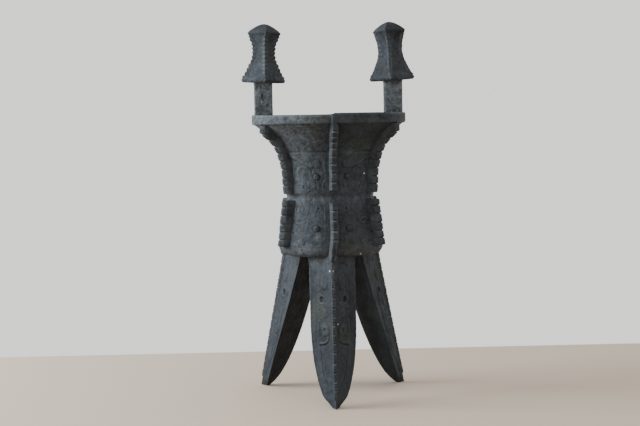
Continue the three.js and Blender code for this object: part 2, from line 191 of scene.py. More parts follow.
def distance_to_path(u, v, path):
    """The distance of each point from a path, and how far along it is the nearest place, from 0 to 1."""
    best = np.full(u.shape, 1e9)
    along = np.zeros(u.shape)
    lengths = np.linalg.norm(np.diff(path, axis=0), axis=1)
    starts = np.concatenate([[0], np.cumsum(lengths)])
    for (ax, ay), (bx, by), length, start in zip(path[:-1], path[1:], lengths, starts):
        if length < 1e-9:
            continue
        t = np.clip(((u - ax) * (bx - ax) + (v - ay) * (by - ay)) / length ** 2, 0, 1)
        d = np.hypot(u - ax - (bx - ax) * t, v - ay - (by - ay) * t)
        nearer = d < best
        best = np.where(nearer, d, best)
        along = np.where(nearer, (start + t * length) / starts[-1], along)
    return best, along


STROKE_EDGE = 2.0


def stroke(u, v, points, width, rise):
    """A raised band along a smooth path, narrowed at its ends, with soft worn edges."""
    d, along = distance_to_path(u, v, smooth_path(points))
    half = width / 2 * (0.5 + 0.5 * soft_step(np.minimum(along, 1 - along) * 5))
    return rise * soft_step((half + STROKE_EDGE / 2 - d) / STROKE_EDGE)


def disc(u, v, centre, size, tall, rise):
    """A low round or oval swelling: size is its half width and tall its height for that width."""
    d = np.hypot(u - centre[0], (v - centre[1]) / tall)
    return rise * soft_step((size + STROKE_EDGE / 2 - d) / STROKE_EDGE)


def ring(u, v, centre, size, rise, pit):
    """A raised ring around a pit."""
    d = np.hypot(u - centre[0], v - centre[1])
    return rise * np.exp(-((d - size) / 1.0) ** 2) - pit * soft_step((size - 0.2 - d) / 2.2)


def groove(u, v, points, width, depth):
    d, _ = distance_to_path(u, v, smooth_path(points))
    return -depth * np.exp(-(d / width) ** 2)


# Half a mask, in millimetres round from the mask's middle and up from the floor: its raised bands with their
# width and rise, its swellings, its ringed pits and its cut lines. The bands are worn low.
EYE_ALONG = 20.8
PANEL_ALONG = 66.0
MASK_TURN = 1.7
NECK_MASK = {
    "bands": (
        (((9, 311), (9.4, 302), (8.8, 291)), 1.6, 0.5),
        (((23, 300), (30, 300.5), (39, 303.5), (48, 309), (56, 312)), 4.4, 0.9),
        (((29.5, 289), (31, 295), (37, 298.8), (44, 298), (50, 293), (48, 287.5)), 3.0, 0.85),
        (((12, 291), (16, 294.5), (22, 295), (27, 291.5)), 2.6, 0.55),
        (((24.5, 278.5), (24.5, 270.5)), 2.2, 0.7),
        (((18.4, 278.5), (18.2, 270.5)), 2.2, 0.6),
        (((31, 269.8), (35.7, 267.8), (40.5, 269.8)), 1.8, 0.7),
        (((52, 303), (57, 296), (58, 286)), 2.6, 0.6),
        (((8, 283), (12, 277), (12, 270)), 2.2, 0.45),
    ),
    "swellings": (
        ((19.8, 302.2), 5.2, 1.0, 1.1), ((38.5, 290.5), 3.4, 1.0, 0.55), ((47.8, 284), 2.4, 1.2, 0.5),
        ((56, 273), 3.2, 1.2, 0.5),
    ),
    "rings": (((51.5, 279.5), 2.9, 0.35, 0.8), ((40.1, 272.8), 3.4, 0.75, 0.6), ((30, 277), 2.4, 0.3, 0.3)),
    "lines": ((((29, 296.5), (36, 301), (45, 305)), 0.8, 0.35), (((13.6, 309), (13.6, 300)), 0.8, 0.3)),
}
BELLY_MASK = {
    "bands": (
        (((9.7, 249), (9.9, 238), (9.6, 228)), 1.6, 0.55),
        (((23.5, 244.5), (23.6, 235.5)), 2.0, 0.55),
        (((53.9, 228.5), (50, 232.5), (45.9, 233.6), (40, 231.4), (38.6, 228.8), (45.6, 226.6), (53.9, 228)),
         1.7, 0.8),
        (((13, 229), (19, 232), (27, 231), (33, 226), (36, 219)), 3.6, 0.5),
        (((37, 198.6), (46, 199.4), (57, 201)), 3.4, 0.8),
        (((28, 202), (25.5, 198.6), (20, 197.8), (15.4, 200.5), (15, 205.5)), 2.6, 0.8),
        (((44, 214), (47, 221), (53, 222.5)), 2.6, 0.5),
        (((35, 249), (34, 242), (36.5, 237)), 2.4, 0.45),
        (((55, 247), (56, 240), (54, 236)), 2.4, 0.5),
        (((9, 217), (11, 210), (10, 203)), 2.2, 0.4),
    ),
    "swellings": (
        ((49.8, 243.8), 2.8, 1.2, 0.8), ((41.2, 203.4), 4.2, 0.9, 1.15), ((29, 211), 3.4, 1.0, 0.5),
        ((43, 245), 2.4, 1.3, 0.45),
    ),
    "rings": (((19, 245.8), 2.8, 0.55, 0.9), ((56.2, 214.5), 3.0, 0.5, 0.9), ((45.8, 230), 1.6, 0.0, 0.35)),
    "lines": ((((14.6, 252), (14.6, 246)), 0.8, 0.45), (((34.5, 206), (36, 200.5), (41, 198.3)), 0.8, 0.5)),
}

# The spirals cut into the ground: how far along the half mask, how far up its panel, and which way round
GROUND_SPIRALS = (
    (15, 0.86, 1), (30, 0.86, -1), (44, 0.93, 1), (30, 0.62, -1), (14, 0.62, 1), (57, 0.62, -1), (45, 0.3, 1),
    (31, 0.34, 1), (12, 0.2, -1), (50, 0.12, 1), (30, 0.1, -1), (57, 0.36, 1), (38, 0.74, 1), (60, 0.88, -1),
)
SPIRAL_SIZE = 3.6
SPIRAL_TURNS = 1.6
SPIRAL_DEPTH = 0.26
BARE_RISE = 0.35


def spiral(u, v, centre, spin):
    """A cut spiral, rounded square like those that fill the ground between the mask's features."""
    t = np.linspace(0.12, 1, 34)
    a = t * SPIRAL_TURNS * 2 * math.pi * spin
    reach = SPIRAL_SIZE * t * (1 / np.maximum(np.abs(np.cos(a)), np.abs(np.sin(a))) ** 0.55)
    path = np.stack([centre[0] + reach * np.cos(a), centre[1] + reach * np.sin(a)], 1)
    d, _ = distance_to_path(u, v, path)
    return -SPIRAL_DEPTH * np.exp(-(d / 0.8) ** 2)


def with_ground(u, v, raised, spirals):
    """Adds the cut spirals, given as [along, up, spin], where the ground is bare of raised ornament."""
    ground = np.zeros(u.shape)
    for along, up, spin in spirals:
        ground = np.minimum(ground, spiral(u, v, (along, up), spin))
    return raised + ground * (1 - soft_step(np.abs(raised) / BARE_RISE))


def carved(u, v, form):
    """The height of a form's bands, swellings, rings and lines over its ground."""
    raised = np.zeros(u.shape)
    for points, width, rise in form["bands"]:
        raised = np.maximum(raised, stroke(u, v, points, width, rise))
    for centre, size, tall, rise in form["swellings"]:
        raised = np.maximum(raised, disc(u, v, centre, size, tall, rise))
    for centre, size, rise, pit in form["rings"]:
        raised = raised + ring(u, v, centre, size, rise, pit)
    for points, width, depth in form["lines"]:
        raised = raised + groove(u, v, points, width, depth)
    return raised


def mask_relief(u, v, eye_height, form):
    """Half a mask with the raised rim and the groove of its eye socket, on its ground of spirals."""
    raised = carved(u, v, form)
    socket = np.hypot(u - EYE_ALONG, (v - eye_height) * 1.2)
    raised = raised + 0.45 * np.exp(-((socket - 7.0) / 1.2) ** 2) - 0.3 * np.exp(-((socket - 5.0) / 0.9) ** 2)
    low, high = v.min(), v.max()
    return with_ground(u, v, raised, [(x, low + (high - low) * up, spin) for x, up, spin in GROUND_SPIRALS])


BLADE_FOOT, BLADE_TIP = 321.0, 347.0
BLADE_TURN = 9.0
BLADE_RISE = 0.7
BLADES = (17.0, 43.0)


def blade_relief(turn, z):
    """Rising blades above the masks, two to a sixth, with a drop between them, at degrees from the flange."""
    up = np.clip((z - BLADE_FOOT) / (BLADE_TIP - BLADE_FOOT), 0, 1)
    height = np.zeros(turn.shape)
    for middle in BLADES:
        inside = (1 - up) * BLADE_TURN - np.abs(turn - middle)
        blade = soft_step(inside / 3.5) - 0.3 * np.exp(-((turn - middle) / 1.2) ** 2)
        height = np.maximum(height, BLADE_RISE * blade * soft_step((z - BLADE_FOOT + 3) / 3))
    height = np.maximum(height, disc(turn, z, (30.0, 325.0), 2.6, 1.6, 0.9))
    height = np.maximum(height, stroke(turn, z, ((28.5, 333), (27.5, 344)), 2.4, 0.6))
    return height


PANEL_EDGE = 2.0
PANEL_RISE = 0.45
PANEL_TOP = 315.6
UNDERSIDE = [(0.0, 183.4), (30.0, 183.6)]
rows = []


def add_rows(points, step, relief):
    """Adds the rows of one zone of the profile. relief names the ornament it carries."""
    for radius, height in spaced(points, step):
        rows.append((radius, height, relief))


corner = [(BELLY_LOW_RADIUS - BELLY_CORNER * (1 - math.sin(a)), BELLY_LOW - BELLY_CORNER * math.cos(a))
          for a in np.linspace(0, math.pi / 2, 9)]
add_rows([*UNDERSIDE, corner[0]], 9.0, "")
add_rows(corner, 1.9, "")
add_rows([(BELLY_LOW_RADIUS, BELLY_LOW), (67.95, 195.0), (67.7, 196.2)], 0.8, "")
add_rows([(67.7, 196.2), (58.2, BELLY_TOP - 1.2)], FINE_STEP, "belly")
add_rows([(58.2, BELLY_TOP - 1.2), (57.7, BELLY_TOP), (57.0, GROOVE_LOW)], 0.8, "")
add_rows([(57.0, GROOVE_LOW), (GROOVE_RADIUS, GROOVE_LOW + 2.5), (GROOVE_RADIUS, 259.5)], 1.2, "")
add_rows([(GROOVE_RADIUS, 259.5), (57.0, GROOVE_HIGH), (58.2, 264.3), (NECK_RADIUS, NECK_FOOT)], 1.0, "")
neck_line = [(float(neck_radius(z)), z) for z in np.linspace(NECK_FOOT, 352.4, 60)]
add_rows([p for p in neck_line if p[1] < 315.5], FINE_STEP * 1.02, "neck")
add_rows([p for p in neck_line if p[1] > 314.0], FINE_STEP * 1.1, "blades")
add_rows([neck_line[-1], (98.6, RIM_LOW), (99.7, RIM_LOW + 1), (MOUTH_RADIUS, RIM_LOW + 2.4)], 1.2, "rim_low")
add_rows([(MOUTH_RADIUS, RIM_LOW + 2.4), (MOUTH_RADIUS, RIM_TOP - 1.4)], 1.7, "rim")
add_rows([(MOUTH_RADIUS, RIM_TOP - 1.4), (99.5, RIM_TOP - 0.35), (98.4, RIM_TOP), (95.8, RIM_TOP),
          (94.9, RIM_TOP - 0.5), (94.5, RIM_TOP - 1.6)], 1.3, "rim")
inner_line = []
for z in np.linspace(RIM_LOW - 6, NECK_FOOT, 14):
    flare = (z - NECK_FOOT) / (RIM_LOW - NECK_FOOT)
    slope = FLARE_POWER * NECK_FLARE * flare ** (FLARE_POWER - 1) / (RIM_LOW - NECK_FOOT)
    inner_line.append((float(neck_radius(z)) - WALL * math.hypot(1, slope), z))
inner_line += [(GROOVE_RADIUS - WALL, GROOVE_LOW), (62.9, 202.0), (62.4, 197.0), (59.4, 192.6), (54.0, 190.3)]
add_rows([(94.5, RIM_TOP - 1.6), *inner_line, (0.0, 190.0)], 11.0, "")
rows.append((0.0, BELLY_LOW - BELLY_CORNER + FLOOR_THICK, ""))

profile = np.array([(r, z) for r, z, _ in rows])
zones = np.array([zone for _, _, zone in rows])
along = np.gradient(profile, axis=0)
outward = np.stack([along[:, 1], -along[:, 0]], 1)
outward /= np.linalg.norm(outward, axis=1)[:, None]

columns = SIXTH_COLUMNS * 6
azimuths = np.arange(columns) * 360.0 / columns
from_nose = np.abs(np.mod(azimuths - MASK_TURN + 60, 120) - 60)
relief = np.zeros((len(rows), columns))
for zone, eye_height, form in (("belly", BELLY_EYE, BELLY_MASK), ("neck", NECK_EYE, NECK_MASK)):
    picked = zones == zone
    half = np.linspace(0, 60, SIXTH_COLUMNS * 2 + 1)
    u, v = np.meshgrid(half / 60 * PANEL_ALONG, profile[picked, 1])
    height = mask_relief(u, v, eye_height, form)
    frame_line = np.minimum(v - v.min(), v.max() - v)
    height *= soft_step((frame_line - 0.4) / PANEL_EDGE)
    nearest = np.rint(from_nose / 60 * SIXTH_COLUMNS * 2).astype(int)
    relief[picked] = height[:, nearest]
neck_rows = zones == "neck"
relief[neck_rows] += PANEL_RISE * soft_step((profile[neck_rows, 1] - NECK_FOOT) / 4)[:, None]
blade_rows = zones == "blades"
turn_grid, z_grid = np.meshgrid(np.mod(azimuths, 60), profile[blade_rows, 1])
edge = PANEL_RISE * (1 - soft_step((z_grid - PANEL_TOP) / 1.0))
line = PANEL_RISE * np.exp(-((z_grid - PANEL_TOP - 2.2) / 0.8) ** 2)
relief[blade_rows] = blade_relief(turn_grid, z_grid) + (edge - line)

# The front left quarter of the rim sinks toward the front flange, where the mould halves met out of line
SEAM_TURN = 2.6
signed = np.mod(azimuths + 180, 360) - 180
past = (signed + 90) / (90 + SEAM_TURN)
dip = np.where((past >= 0) & (past < 1), RIM_DIP * past, 0.0)
sink = np.where(zones == "rim", soft_step((profile[:, 1] - RIM_LOW) / (RIM_TOP - RIM_LOW)), 0.0)


def read_keys(keys, z):
    heights, sizes = zip(*keys)
    return np.interp(z, heights, sizes)


LUMP_WAVES = 22


def lumps(points, seed, size):
    """Soft irregularity of a cast surface, mostly from -1 to 1, over lengths of about size millimetres."""
    draw = np.random.default_rng(seed)
    total = np.zeros(len(points))
    for octave in range(2):
        directions = draw.normal(size=(LUMP_WAVES, 3))
        directions /= np.linalg.norm(directions, axis=1)[:, None]
        reach = size / 2 ** octave * draw.uniform(0.7, 1.4, LUMP_WAVES)
        phase = draw.uniform(0, 2 * math.pi, LUMP_WAVES)
        wave = np.sin(points @ (directions / reach[:, None] * 2 * math.pi).T + phase)
        total += wave.sum(1) / math.sqrt(LUMP_WAVES) / 2 ** octave
    return total / 2


def grid_mesh(name, grid, closed_ends=True):
    """A mesh from rows of points in millimetres around the axis, where each row closes on itself."""
    count_rows, count_columns, _ = grid.shape
    points = grid.reshape(-1, 3)
    index = np.arange(count_rows * count_columns).reshape(count_rows, count_columns)
    right = np.roll(index, -1, axis=1)
    quads = np.stack([index[:-1], right[:-1], right[1:], index[1:]], -1).reshape(-1, 4)
    mesh = bpy.data.meshes.new(name)
    faces = quads.tolist()
    if closed_ends:
        faces.append(index[0, ::-1].tolist())
        faces.append(index[-1].tolist())
    mesh.from_pydata((points * MM).tolist(), [], faces)
    return mesh


def settle(mesh, name):
    """Makes a finished mesh one object: doubles merged, faces outward, moved onto the vessel's axis."""
    work = bmesh.new()
    work.from_mesh(mesh)
    bmesh.ops.remove_doubles(work, verts=work.verts, dist=1e-6)
    bmesh.ops.dissolve_degenerate(work, edges=work.edges, dist=1e-7)
    bmesh.ops.recalc_face_normals(work, faces=work.faces)
    bmesh.ops.translate(work, verts=work.verts, vec=AXIS)
    work.to_mesh(mesh)
    work.free()
    mesh.name = name
    piece = bpy.data.objects.new(name, mesh)
    bpy.context.scene.collection.objects.link(piece)
    return piece


def points_of(mesh):
    points = np.empty(len(mesh.vertices) * 3)
    mesh.vertices.foreach_get("co", points)
    return points.reshape(-1, 3)


def normals_of(mesh):
    normals = np.empty(len(mesh.vertices) * 3)
    mesh.vertex_normals.foreach_get("vector", normals)
    return normals.reshape(-1, 3)


def store(mesh, name, values):
    mesh.attributes.new(name, "FLOAT", "POINT").data.foreach_set("value", values)


SKIN_LUMP = 9.0


def cast_skin(mesh, seed, depth):
    """Moves each point of a mesh a little along its normal, as a cast and buried surface is uneven, and never
    below the floor."""
    points, normals = points_of(mesh), normals_of(mesh)
    fine = lumps(points / MM, seed + 1, SKIN_LUMP / 4) * depth * 0.45
    push = lumps(points / MM, seed, SKIN_LUMP) * depth + fine
    moved = points + normals * push[:, None] * MM
    moved[:, 2] = np.maximum(moved[:, 2], 0.0)
    mesh.vertices.foreach_set("co", moved.ravel())
    mesh.update()


WEAR_PER_MM = 2.2


def note_wear_and_shade(mesh, deepest):
    """Stores on each point how far it stands out of its surroundings: over 0.5 on edges, which the bronze
    pales as rubbed, and under it in hollows, down to deepest, which the bronze darkens with painted shade."""
    count = len(mesh.vertices)
    points, normals = points_of(mesh), normals_of(mesh)
    edges = np.empty(len(mesh.edges) * 2, int)
    mesh.edges.foreach_get("vertices", edges)
    one, other = edges.reshape(-1, 2).T
    near = np.bincount(one, minlength=count) + np.bincount(other, minlength=count)
    near = np.maximum(near, 1)

    def averaged(values):
        total = np.bincount(one, values[other], count) + np.bincount(other, values[one], count)
        return total / near

    smooth = points.copy()
    for _ in range(3):
        smooth = np.stack([averaged(smooth[:, k]) for k in range(3)], 1) * 0.5 + smooth * 0.5
    stands = ((points - smooth) * normals).sum(1) / MM
    stands = averaged(stands) * 0.5 + stands * 0.5
    store(mesh, "wear_and_hollow_shade", np.clip(0.5 + stands * WEAR_PER_MM, deepest, 1))


# The carving is worn away in patches: the share of it that is left, how much that varies, and a patch's size
CARVING_LEFT, CARVING_VARIES, WORN_PATCH = 0.78, 0.3, 34.0
LEAST_LEFT, MOST_LEFT = 0.35, 1.1
MIDDLE_RADIUS = 65
flat_turn, flat_height = np.meshgrid(np.radians(azimuths), profile[:, 1])
spots = np.stack([
    np.sin(flat_turn) * MIDDLE_RADIUS,
    -np.cos(flat_turn) * MIDDLE_RADIUS,
    flat_height,
], -1).reshape(-1, 3)
left_over = CARVING_LEFT + CARVING_VARIES * lumps(spots, 5, WORN_PATCH).reshape(relief.shape)
relief *= np.clip(left_over, LEAST_LEFT, MOST_LEFT)

turns = np.radians(azimuths)
radius_grid = profile[:, 0][:, None] + outward[:, 0][:, None] * relief
height_grid = profile[:, 1][:, None] + outward[:, 1][:, None] * relief - sink[:, None] * dip[None, :]
beaker_grid = np.stack([
    radius_grid * np.sin(turns)[None, :],
    -radius_grid * np.cos(turns)[None, :],
    height_grid,
], -1)
beaker_mesh = grid_mesh("beaker", beaker_grid, closed_ends=False)


# Patinated bronze: dark slate metal under a dull crust, with pale blue-grey dust where each piece holds it, a
# little paler where edges are rubbed, painted shade in the hollows and on the faces between the legs, painted
# highlights on the lips of notches, and a few small white chips.
PATINA_DARK = (0.0085, 0.0095, 0.0112, 1.0)
PATINA_BLUE = (0.026, 0.030, 0.036, 1.0)
PATINA_GREEN = (0.030, 0.033, 0.023, 1.0)
RUBBED = (0.052, 0.059, 0.064, 1.0)
DUST_AND_HIGHLIGHT = (0.118, 0.132, 0.145, 1.0)
PAINTED_HOLLOW_SHADE = (0.003, 0.0035, 0.004, 1.0)
PAINTED_INNER_SHADE = (0.004, 0.0058, 0.0068, 1.0)
CHIP = (0.80, 0.79, 0.75, 1.0)
METALLIC = 0.1
SPECULAR = 0.08
SMOOTHEST, ROUGHEST = 0.58, 0.78
OLIVE_SHARE, SPECK_SHARE, INNER_SHADE_SHARE = 0.6, 0.9, 0.72

# The wear at which the rubbed look sets in and is full, and the same for the painted shade of the hollows
RUBBED_WEAR, HOLLOW_SHADE_WEAR = (0.54, 0.9), (0.46, 0.16)

# Each bump is its strength and its height in metres
GRAIN_BUMP, PIT_BUMP = (0.4, 0.0006), (0.35, 0.001)

# Each mottle is the scale, detail and roughness of a noise, and the part of its range over which it sets in
BLUE_CLOUDS = (26.0, 5.0, 0.6, 0.22, 0.66)
OLIVE_BLOOMS = (17.0, 3.0, 0.5, 0.52, 0.72)
RUB_MARKS = (90.0, 4.0, 0.6, 0.25, 0.7)
DUST_AND_HIGHLIGHT_GRAIN = (150.0, 6.0, 0.75, 0.28, 0.74)
DUST_AND_HIGHLIGHT_SPECKS = (520.0, 3.0, 0.6, 0.60, 0.72)
HOLLOW_SHADE_MARKS = (70.0, 4.0, 0.6, 0.2, 0.8)
DULL_PATCHES = (60.0, 4.0, 0.6, 0.3, 0.7)
CAST_GRAIN = (620.0, 5.0, 0.65, 0.25, 0.75)
PITS = (230.0, 3.0, 0.55, 0.36, 0.58)


def bronze():
    paint = bpy.data.materials.new("patinated_bronze")
    paint.use_nodes = True
    nodes, links = paint.node_tree.nodes, paint.node_tree.links
    shader = nodes["Principled BSDF"]
    shader.inputs["Metallic"].default_value = METALLIC
    shader.inputs["Specular IOR Level"].default_value = SPECULAR
    place = nodes.new("ShaderNodeTexCoord").outputs["Object"]

    def mottle(scale, detail, rough, low, high):
        node = nodes.new("ShaderNodeTexNoise")
        node.inputs["Scale"].default_value = scale
        node.inputs["Detail"].default_value = detail
        node.inputs["Roughness"].default_value = rough
        links.new(place, node.inputs["Vector"])
        spread = nodes.new("ShaderNodeMapRange")
        spread.interpolation_type = "SMOOTHSTEP"
        spread.inputs["From Min"].default_value = low
        spread.inputs["From Max"].default_value = high
        links.new(node.outputs["Fac"], spread.inputs["Value"])
        return spread.outputs["Result"]

    def mix(first, second, amount):
        node = nodes.new("ShaderNodeMix")
        node.data_type = "RGBA"
        for socket, value in ((node.inputs[6], first), (node.inputs[7], second)):
            if isinstance(value, tuple):
                socket.default_value = value
            else:
                links.new(value, socket)
        links.new(amount, node.inputs[0])
        return node.outputs[2]

    def times(value, factor):
        node = nodes.new("ShaderNodeMath")
        node.operation = "MULTIPLY"
        links.new(value, node.inputs[0])
        if isinstance(factor, float):
            node.inputs[1].default_value = factor
        else:
            links.new(factor, node.inputs[1])
        return node.outputs[0]

    def ramp(value, low, high, to_low=0.0, to_high=1.0):
        node = nodes.new("ShaderNodeMapRange")
        node.inputs["From Min"].default_value = low
        node.inputs["From Max"].default_value = high
        node.inputs["To Min"].default_value = to_low
        node.inputs["To Max"].default_value = to_high
        links.new(value, node.inputs["Value"])
        return node.outputs["Result"]

    def stored(name):
        node = nodes.new("ShaderNodeAttribute")
        node.attribute_name = name
        return node.outputs["Fac"]

    def bump(height, strength, distance):
        node = nodes.new("ShaderNodeBump")
        node.inputs["Strength"].default_value = strength
        node.inputs["Distance"].default_value = distance
        links.new(height, node.inputs["Height"])
        return node

    wear_and_hollow_shade, dust_and_highlight = stored("wear_and_hollow_shade"), stored("dust_and_highlight")
    colour = mix(PATINA_DARK, PATINA_BLUE, mottle(*BLUE_CLOUDS))
    colour = mix(colour, PATINA_GREEN, times(mottle(*OLIVE_BLOOMS), OLIVE_SHARE))
    colour = mix(colour, RUBBED, times(ramp(wear_and_hollow_shade, *RUBBED_WEAR), mottle(*RUB_MARKS)))
    # Pale dust, and painted highlights where the patches sit on the lips of notches
    colour = mix(colour, DUST_AND_HIGHLIGHT, times(dust_and_highlight, mottle(*DUST_AND_HIGHLIGHT_GRAIN)))
    colour = mix(colour, DUST_AND_HIGHLIGHT, times(times(mottle(*DUST_AND_HIGHLIGHT_SPECKS), dust_and_highlight), SPECK_SHARE))
    # Painted shade darkens the hollows
    colour = mix(colour, PAINTED_HOLLOW_SHADE, times(ramp(wear_and_hollow_shade, *HOLLOW_SHADE_WEAR), mottle(*HOLLOW_SHADE_MARKS)))
    # Painted shade on the faces that look in between the legs
    colour = mix(colour, PAINTED_INNER_SHADE, times(stored("painted_inner_shade"), INNER_SHADE_SHARE))
    colour = mix(colour, CHIP, stored("chip"))
    links.new(colour, shader.inputs["Base Color"])
    links.new(ramp(mottle(*DULL_PATCHES), 0.0, 1.0, SMOOTHEST, ROUGHEST), shader.inputs["Roughness"])

    grain = bump(mottle(*CAST_GRAIN), *GRAIN_BUMP)
    pits = bump(mottle(*PITS), *PIT_BUMP)
    links.new(grain.outputs["Normal"], pits.inputs["Normal"])
    links.new(pits.outputs["Normal"], shader.inputs["Normal"])
    return paint


patina = bronze()
SMOOTH_UNDER = math.radians(38)
INNER_SHADE_TOP = 184.0
MOST_DUST_AND_HIGHLIGHT = 2.0


def note_spots(mesh, by_height, patches, chips):
    """Stores how dusty each point is from its height and from patches given as azimuth, height, reach and
    amount, some of which are painted highlights; where the small white chips are, given as azimuth, height
    and reach; and painted shade on the faces that look in on the space between the legs."""
    x, y, z = ((points_of(mesh) - np.array(AXIS)) / MM).T
    turned, out = np.degrees(np.arctan2(x, -y)), np.hypot(x, y)

    def away(azimuth, height):
        along = (np.mod(turned - azimuth + 180, 360) - 180) * math.pi / 180 * out
        return np.hypot(along, z - height)

    dust_and_highlight = read_keys(by_height, z)
    for azimuth, height, reach, amount in patches:
        dust_and_highlight = dust_and_highlight + amount * np.exp(-(away(azimuth, height) / reach) ** 2)
    chip = np.zeros(len(z))
    for azimuth, height, reach in chips:
        chip = np.maximum(chip, soft_step((reach - away(azimuth, height)) / 0.8))
    # Painted shade on the faces that turn in toward the axis, up to the top of the legs
    normals = normals_of(mesh)
    inward = -(normals[:, 0] * x + normals[:, 1] * y) / np.maximum(out, 1)
    store(mesh, "painted_inner_shade", np.clip(inward * 1.6 + 0.1, 0, 1) * (z < INNER_SHADE_TOP))
    store(mesh, "dust_and_highlight", np.clip(dust_and_highlight, 0, MOST_DUST_AND_HIGHLIGHT))
    store(mesh, "chip", chip)


def finish_piece(piece, seed, depth, by_height, patches=(), chips=(), deepest=0.0):
    """The cast skin, the patina and the ride that every piece of the vessel shares."""
    mesh = piece.data
    mesh.shade_smooth()
    cast_skin(mesh, seed, depth)
    mesh.set_sharp_from_angle(angle=SMOOTH_UNDER)
    note_wear_and_shade(mesh, deepest)
    note_spots(mesh, by_height, patches, chips)
    if not mesh.materials:
        mesh.materials.append(patina)
    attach(piece, "root")
    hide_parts("jia_vessel")


BEAKER_DUST = ((183, 0.45), (194, 0.35), (206, 0.22), (240, 0.22), (252, 0.33), (258, 0.52), (265, 0.32),
               (290, 0.24), (318, 0.24), (330, 0.15), (350, 0.15), (353, 0.24), (366, 0.26))
BEAKER_PATCHES = (
    (-65, 360, 42, 0.7), (-25, 360, 30, 0.55), (70, 360, 16, 0.3), (-26, 338, 4, 0.35), (-30, 325, 4, 0.35),
    (-14, 332, 4, 0.3), (-50, 290, 14, 0.16), (-22, 300, 22, 0.1), (-46, 250, 14, 0.15), (-16, 211, 5, 0.4),
    (-35, 192, 14, 0.3), (20, 317, 9, 0.25), (-33, 317, 9, 0.25), (-50, 230, 15, 0.15),
)
BEAKER_CHIPS = ((46, 289, 1.3), (34, 187, 1.2))
beaker = settle(beaker_mesh, "beaker")
finish_piece(beaker, 11, 0.1, BEAKER_DUST, BEAKER_PATCHES, BEAKER_CHIPS)


# The flanges: toothed ribs, cast with the body, down the neck and the belly on each sixth of the round but
# the one behind the handle. Over a leg the belly's flange runs on down into the leg's ridge. The front one
# stands a little off the middle.
FLANGE_HALF_FACE = 2.6
RIDGE_HALF = 1.7
FLANGE_SIDES = ((0.0, 0.0), (3.4, 3.9), (12.0, 4.6))
FRONT_FLANGE_SIDES = ((0.0, 0.0), (4.0, 2.2), (12.0, 3.2))
FRONT_SIDE_NOTCH = 0.15
SHIFT_FROM, SHIFT_OVER = 214.0, 34.0
WIDTH_WAVERS, REACH_WAVERS = 0.18, 0.25
END_DROP, END_ROUND = 1.0, 1.3
FLANGE_SUNK = 2.0
NARROWING_OVER = 16
SIDE_CUT = 0.3
NOTCH_DEPTH = 1.9
NOTCH_HALF = 1.15
FLANGE_STEP = 0.45
FRONT_FLANGE_TURN = 3.2
FRONT_FLANGE_SHIFT = 3.6
FRONT_NECK_NOTCHES = (279.5, 290.8, 302.4, 312.2, 322.0, 329.5, 336.5, 343.5)
SIDE_NECK_NOTCHES = (275.0, 285.0, 295.5, 306.0, 316.0, 325.0, 333.0, 341.0)
FRONT_BELLY_NOTCHES = (207.0, 218.5, 232.0, 244.0)
SIDE_BELLY_NOTCHES = (206.0, 215.5, 225.5, 237.0, 247.5)
NECK_FLANGE_KEYS = ((264, 68.6), (292, 70.8), (304, 73), (314, 76.4), (324, 81.5), (331, 87.5), (338, 96),
                    (343, 101.3), (352, 101.3))
BELLY_FLANGE_KEYS = ((174, 74.5), (197, 78.6), (255.5, 71))


def notch(z, notches, half):
    """1 in the middle of each notch, falling straight to 0 at its edges."""
    cut = np.zeros_like(z)
    for middle in notches:
        cut = np.maximum(cut, np.clip(1.1 - np.abs(z - middle) / half, 0, 1))
    return cut


EDGE_SOFT = 0.6


def toothed_bar(name, z, reach, root, half_face, sides, cut, depth, across=1.0):
    """A rib up the front, its face at reach and its foot at root. sides says how much wider than its face
    each side is at depths below it, and across is the share of its notches' depth that the sides have."""
    whole = reach - cut * depth * across
    reach = reach - cut * depth
    half = half_face - cut * SIDE_CUT
    soft = EDGE_SOFT
    section = [(root, half + np.interp(whole - root, *zip(*sides)))]
    for down, wider in reversed(sides[1:-1]):
        section += [(whole - down - soft, half + wider + 0.1), (whole - down + soft, half + wider - soft)]
    section += [(reach - soft * 0.6, half + soft * 0.2), (reach - soft * 0.1, half - soft * 0.5),
                (reach, half - soft * 1.3)]
    section += [(r, -s) for r, s in reversed(section)]
    grid = np.stack([np.stack([s + 0 * z, -r, z], -1) for r, s in section], 1)
    return grid_mesh(name, grid)


def new_tree(name, inputs):
    """A tree of geometry nodes with a geometry, the named inputs and a material going in."""
    tree = bpy.data.node_groups.new(name, "GeometryNodeTree")
    tree.interface.new_socket("Geometry", in_out="INPUT", socket_type="NodeSocketGeometry")
    for label, kind in inputs + (("Material", "Material"),):
        tree.interface.new_socket(label, in_out="INPUT", socket_type="NodeSocket" + kind)
    tree.interface.new_socket("Geometry", in_out="OUTPUT", socket_type="NodeSocketGeometry")
    return tree, tree.nodes.new("NodeGroupInput").outputs


def end_tree(tree, placed, given):
    """Makes the placed instances real and paints them."""
    nodes, links = tree.nodes, tree.links
    real = nodes.new("GeometryNodeRealizeInstances")
    links.new(placed.outputs[0], real.inputs[0])
    painted = nodes.new("GeometryNodeSetMaterial")
    links.new(real.outputs[0], painted.inputs["Geometry"])
    links.new(given["Material"], painted.inputs["Material"])
    links.new(painted.outputs[0], nodes.new("NodeGroupOutput").inputs[0])
    return tree


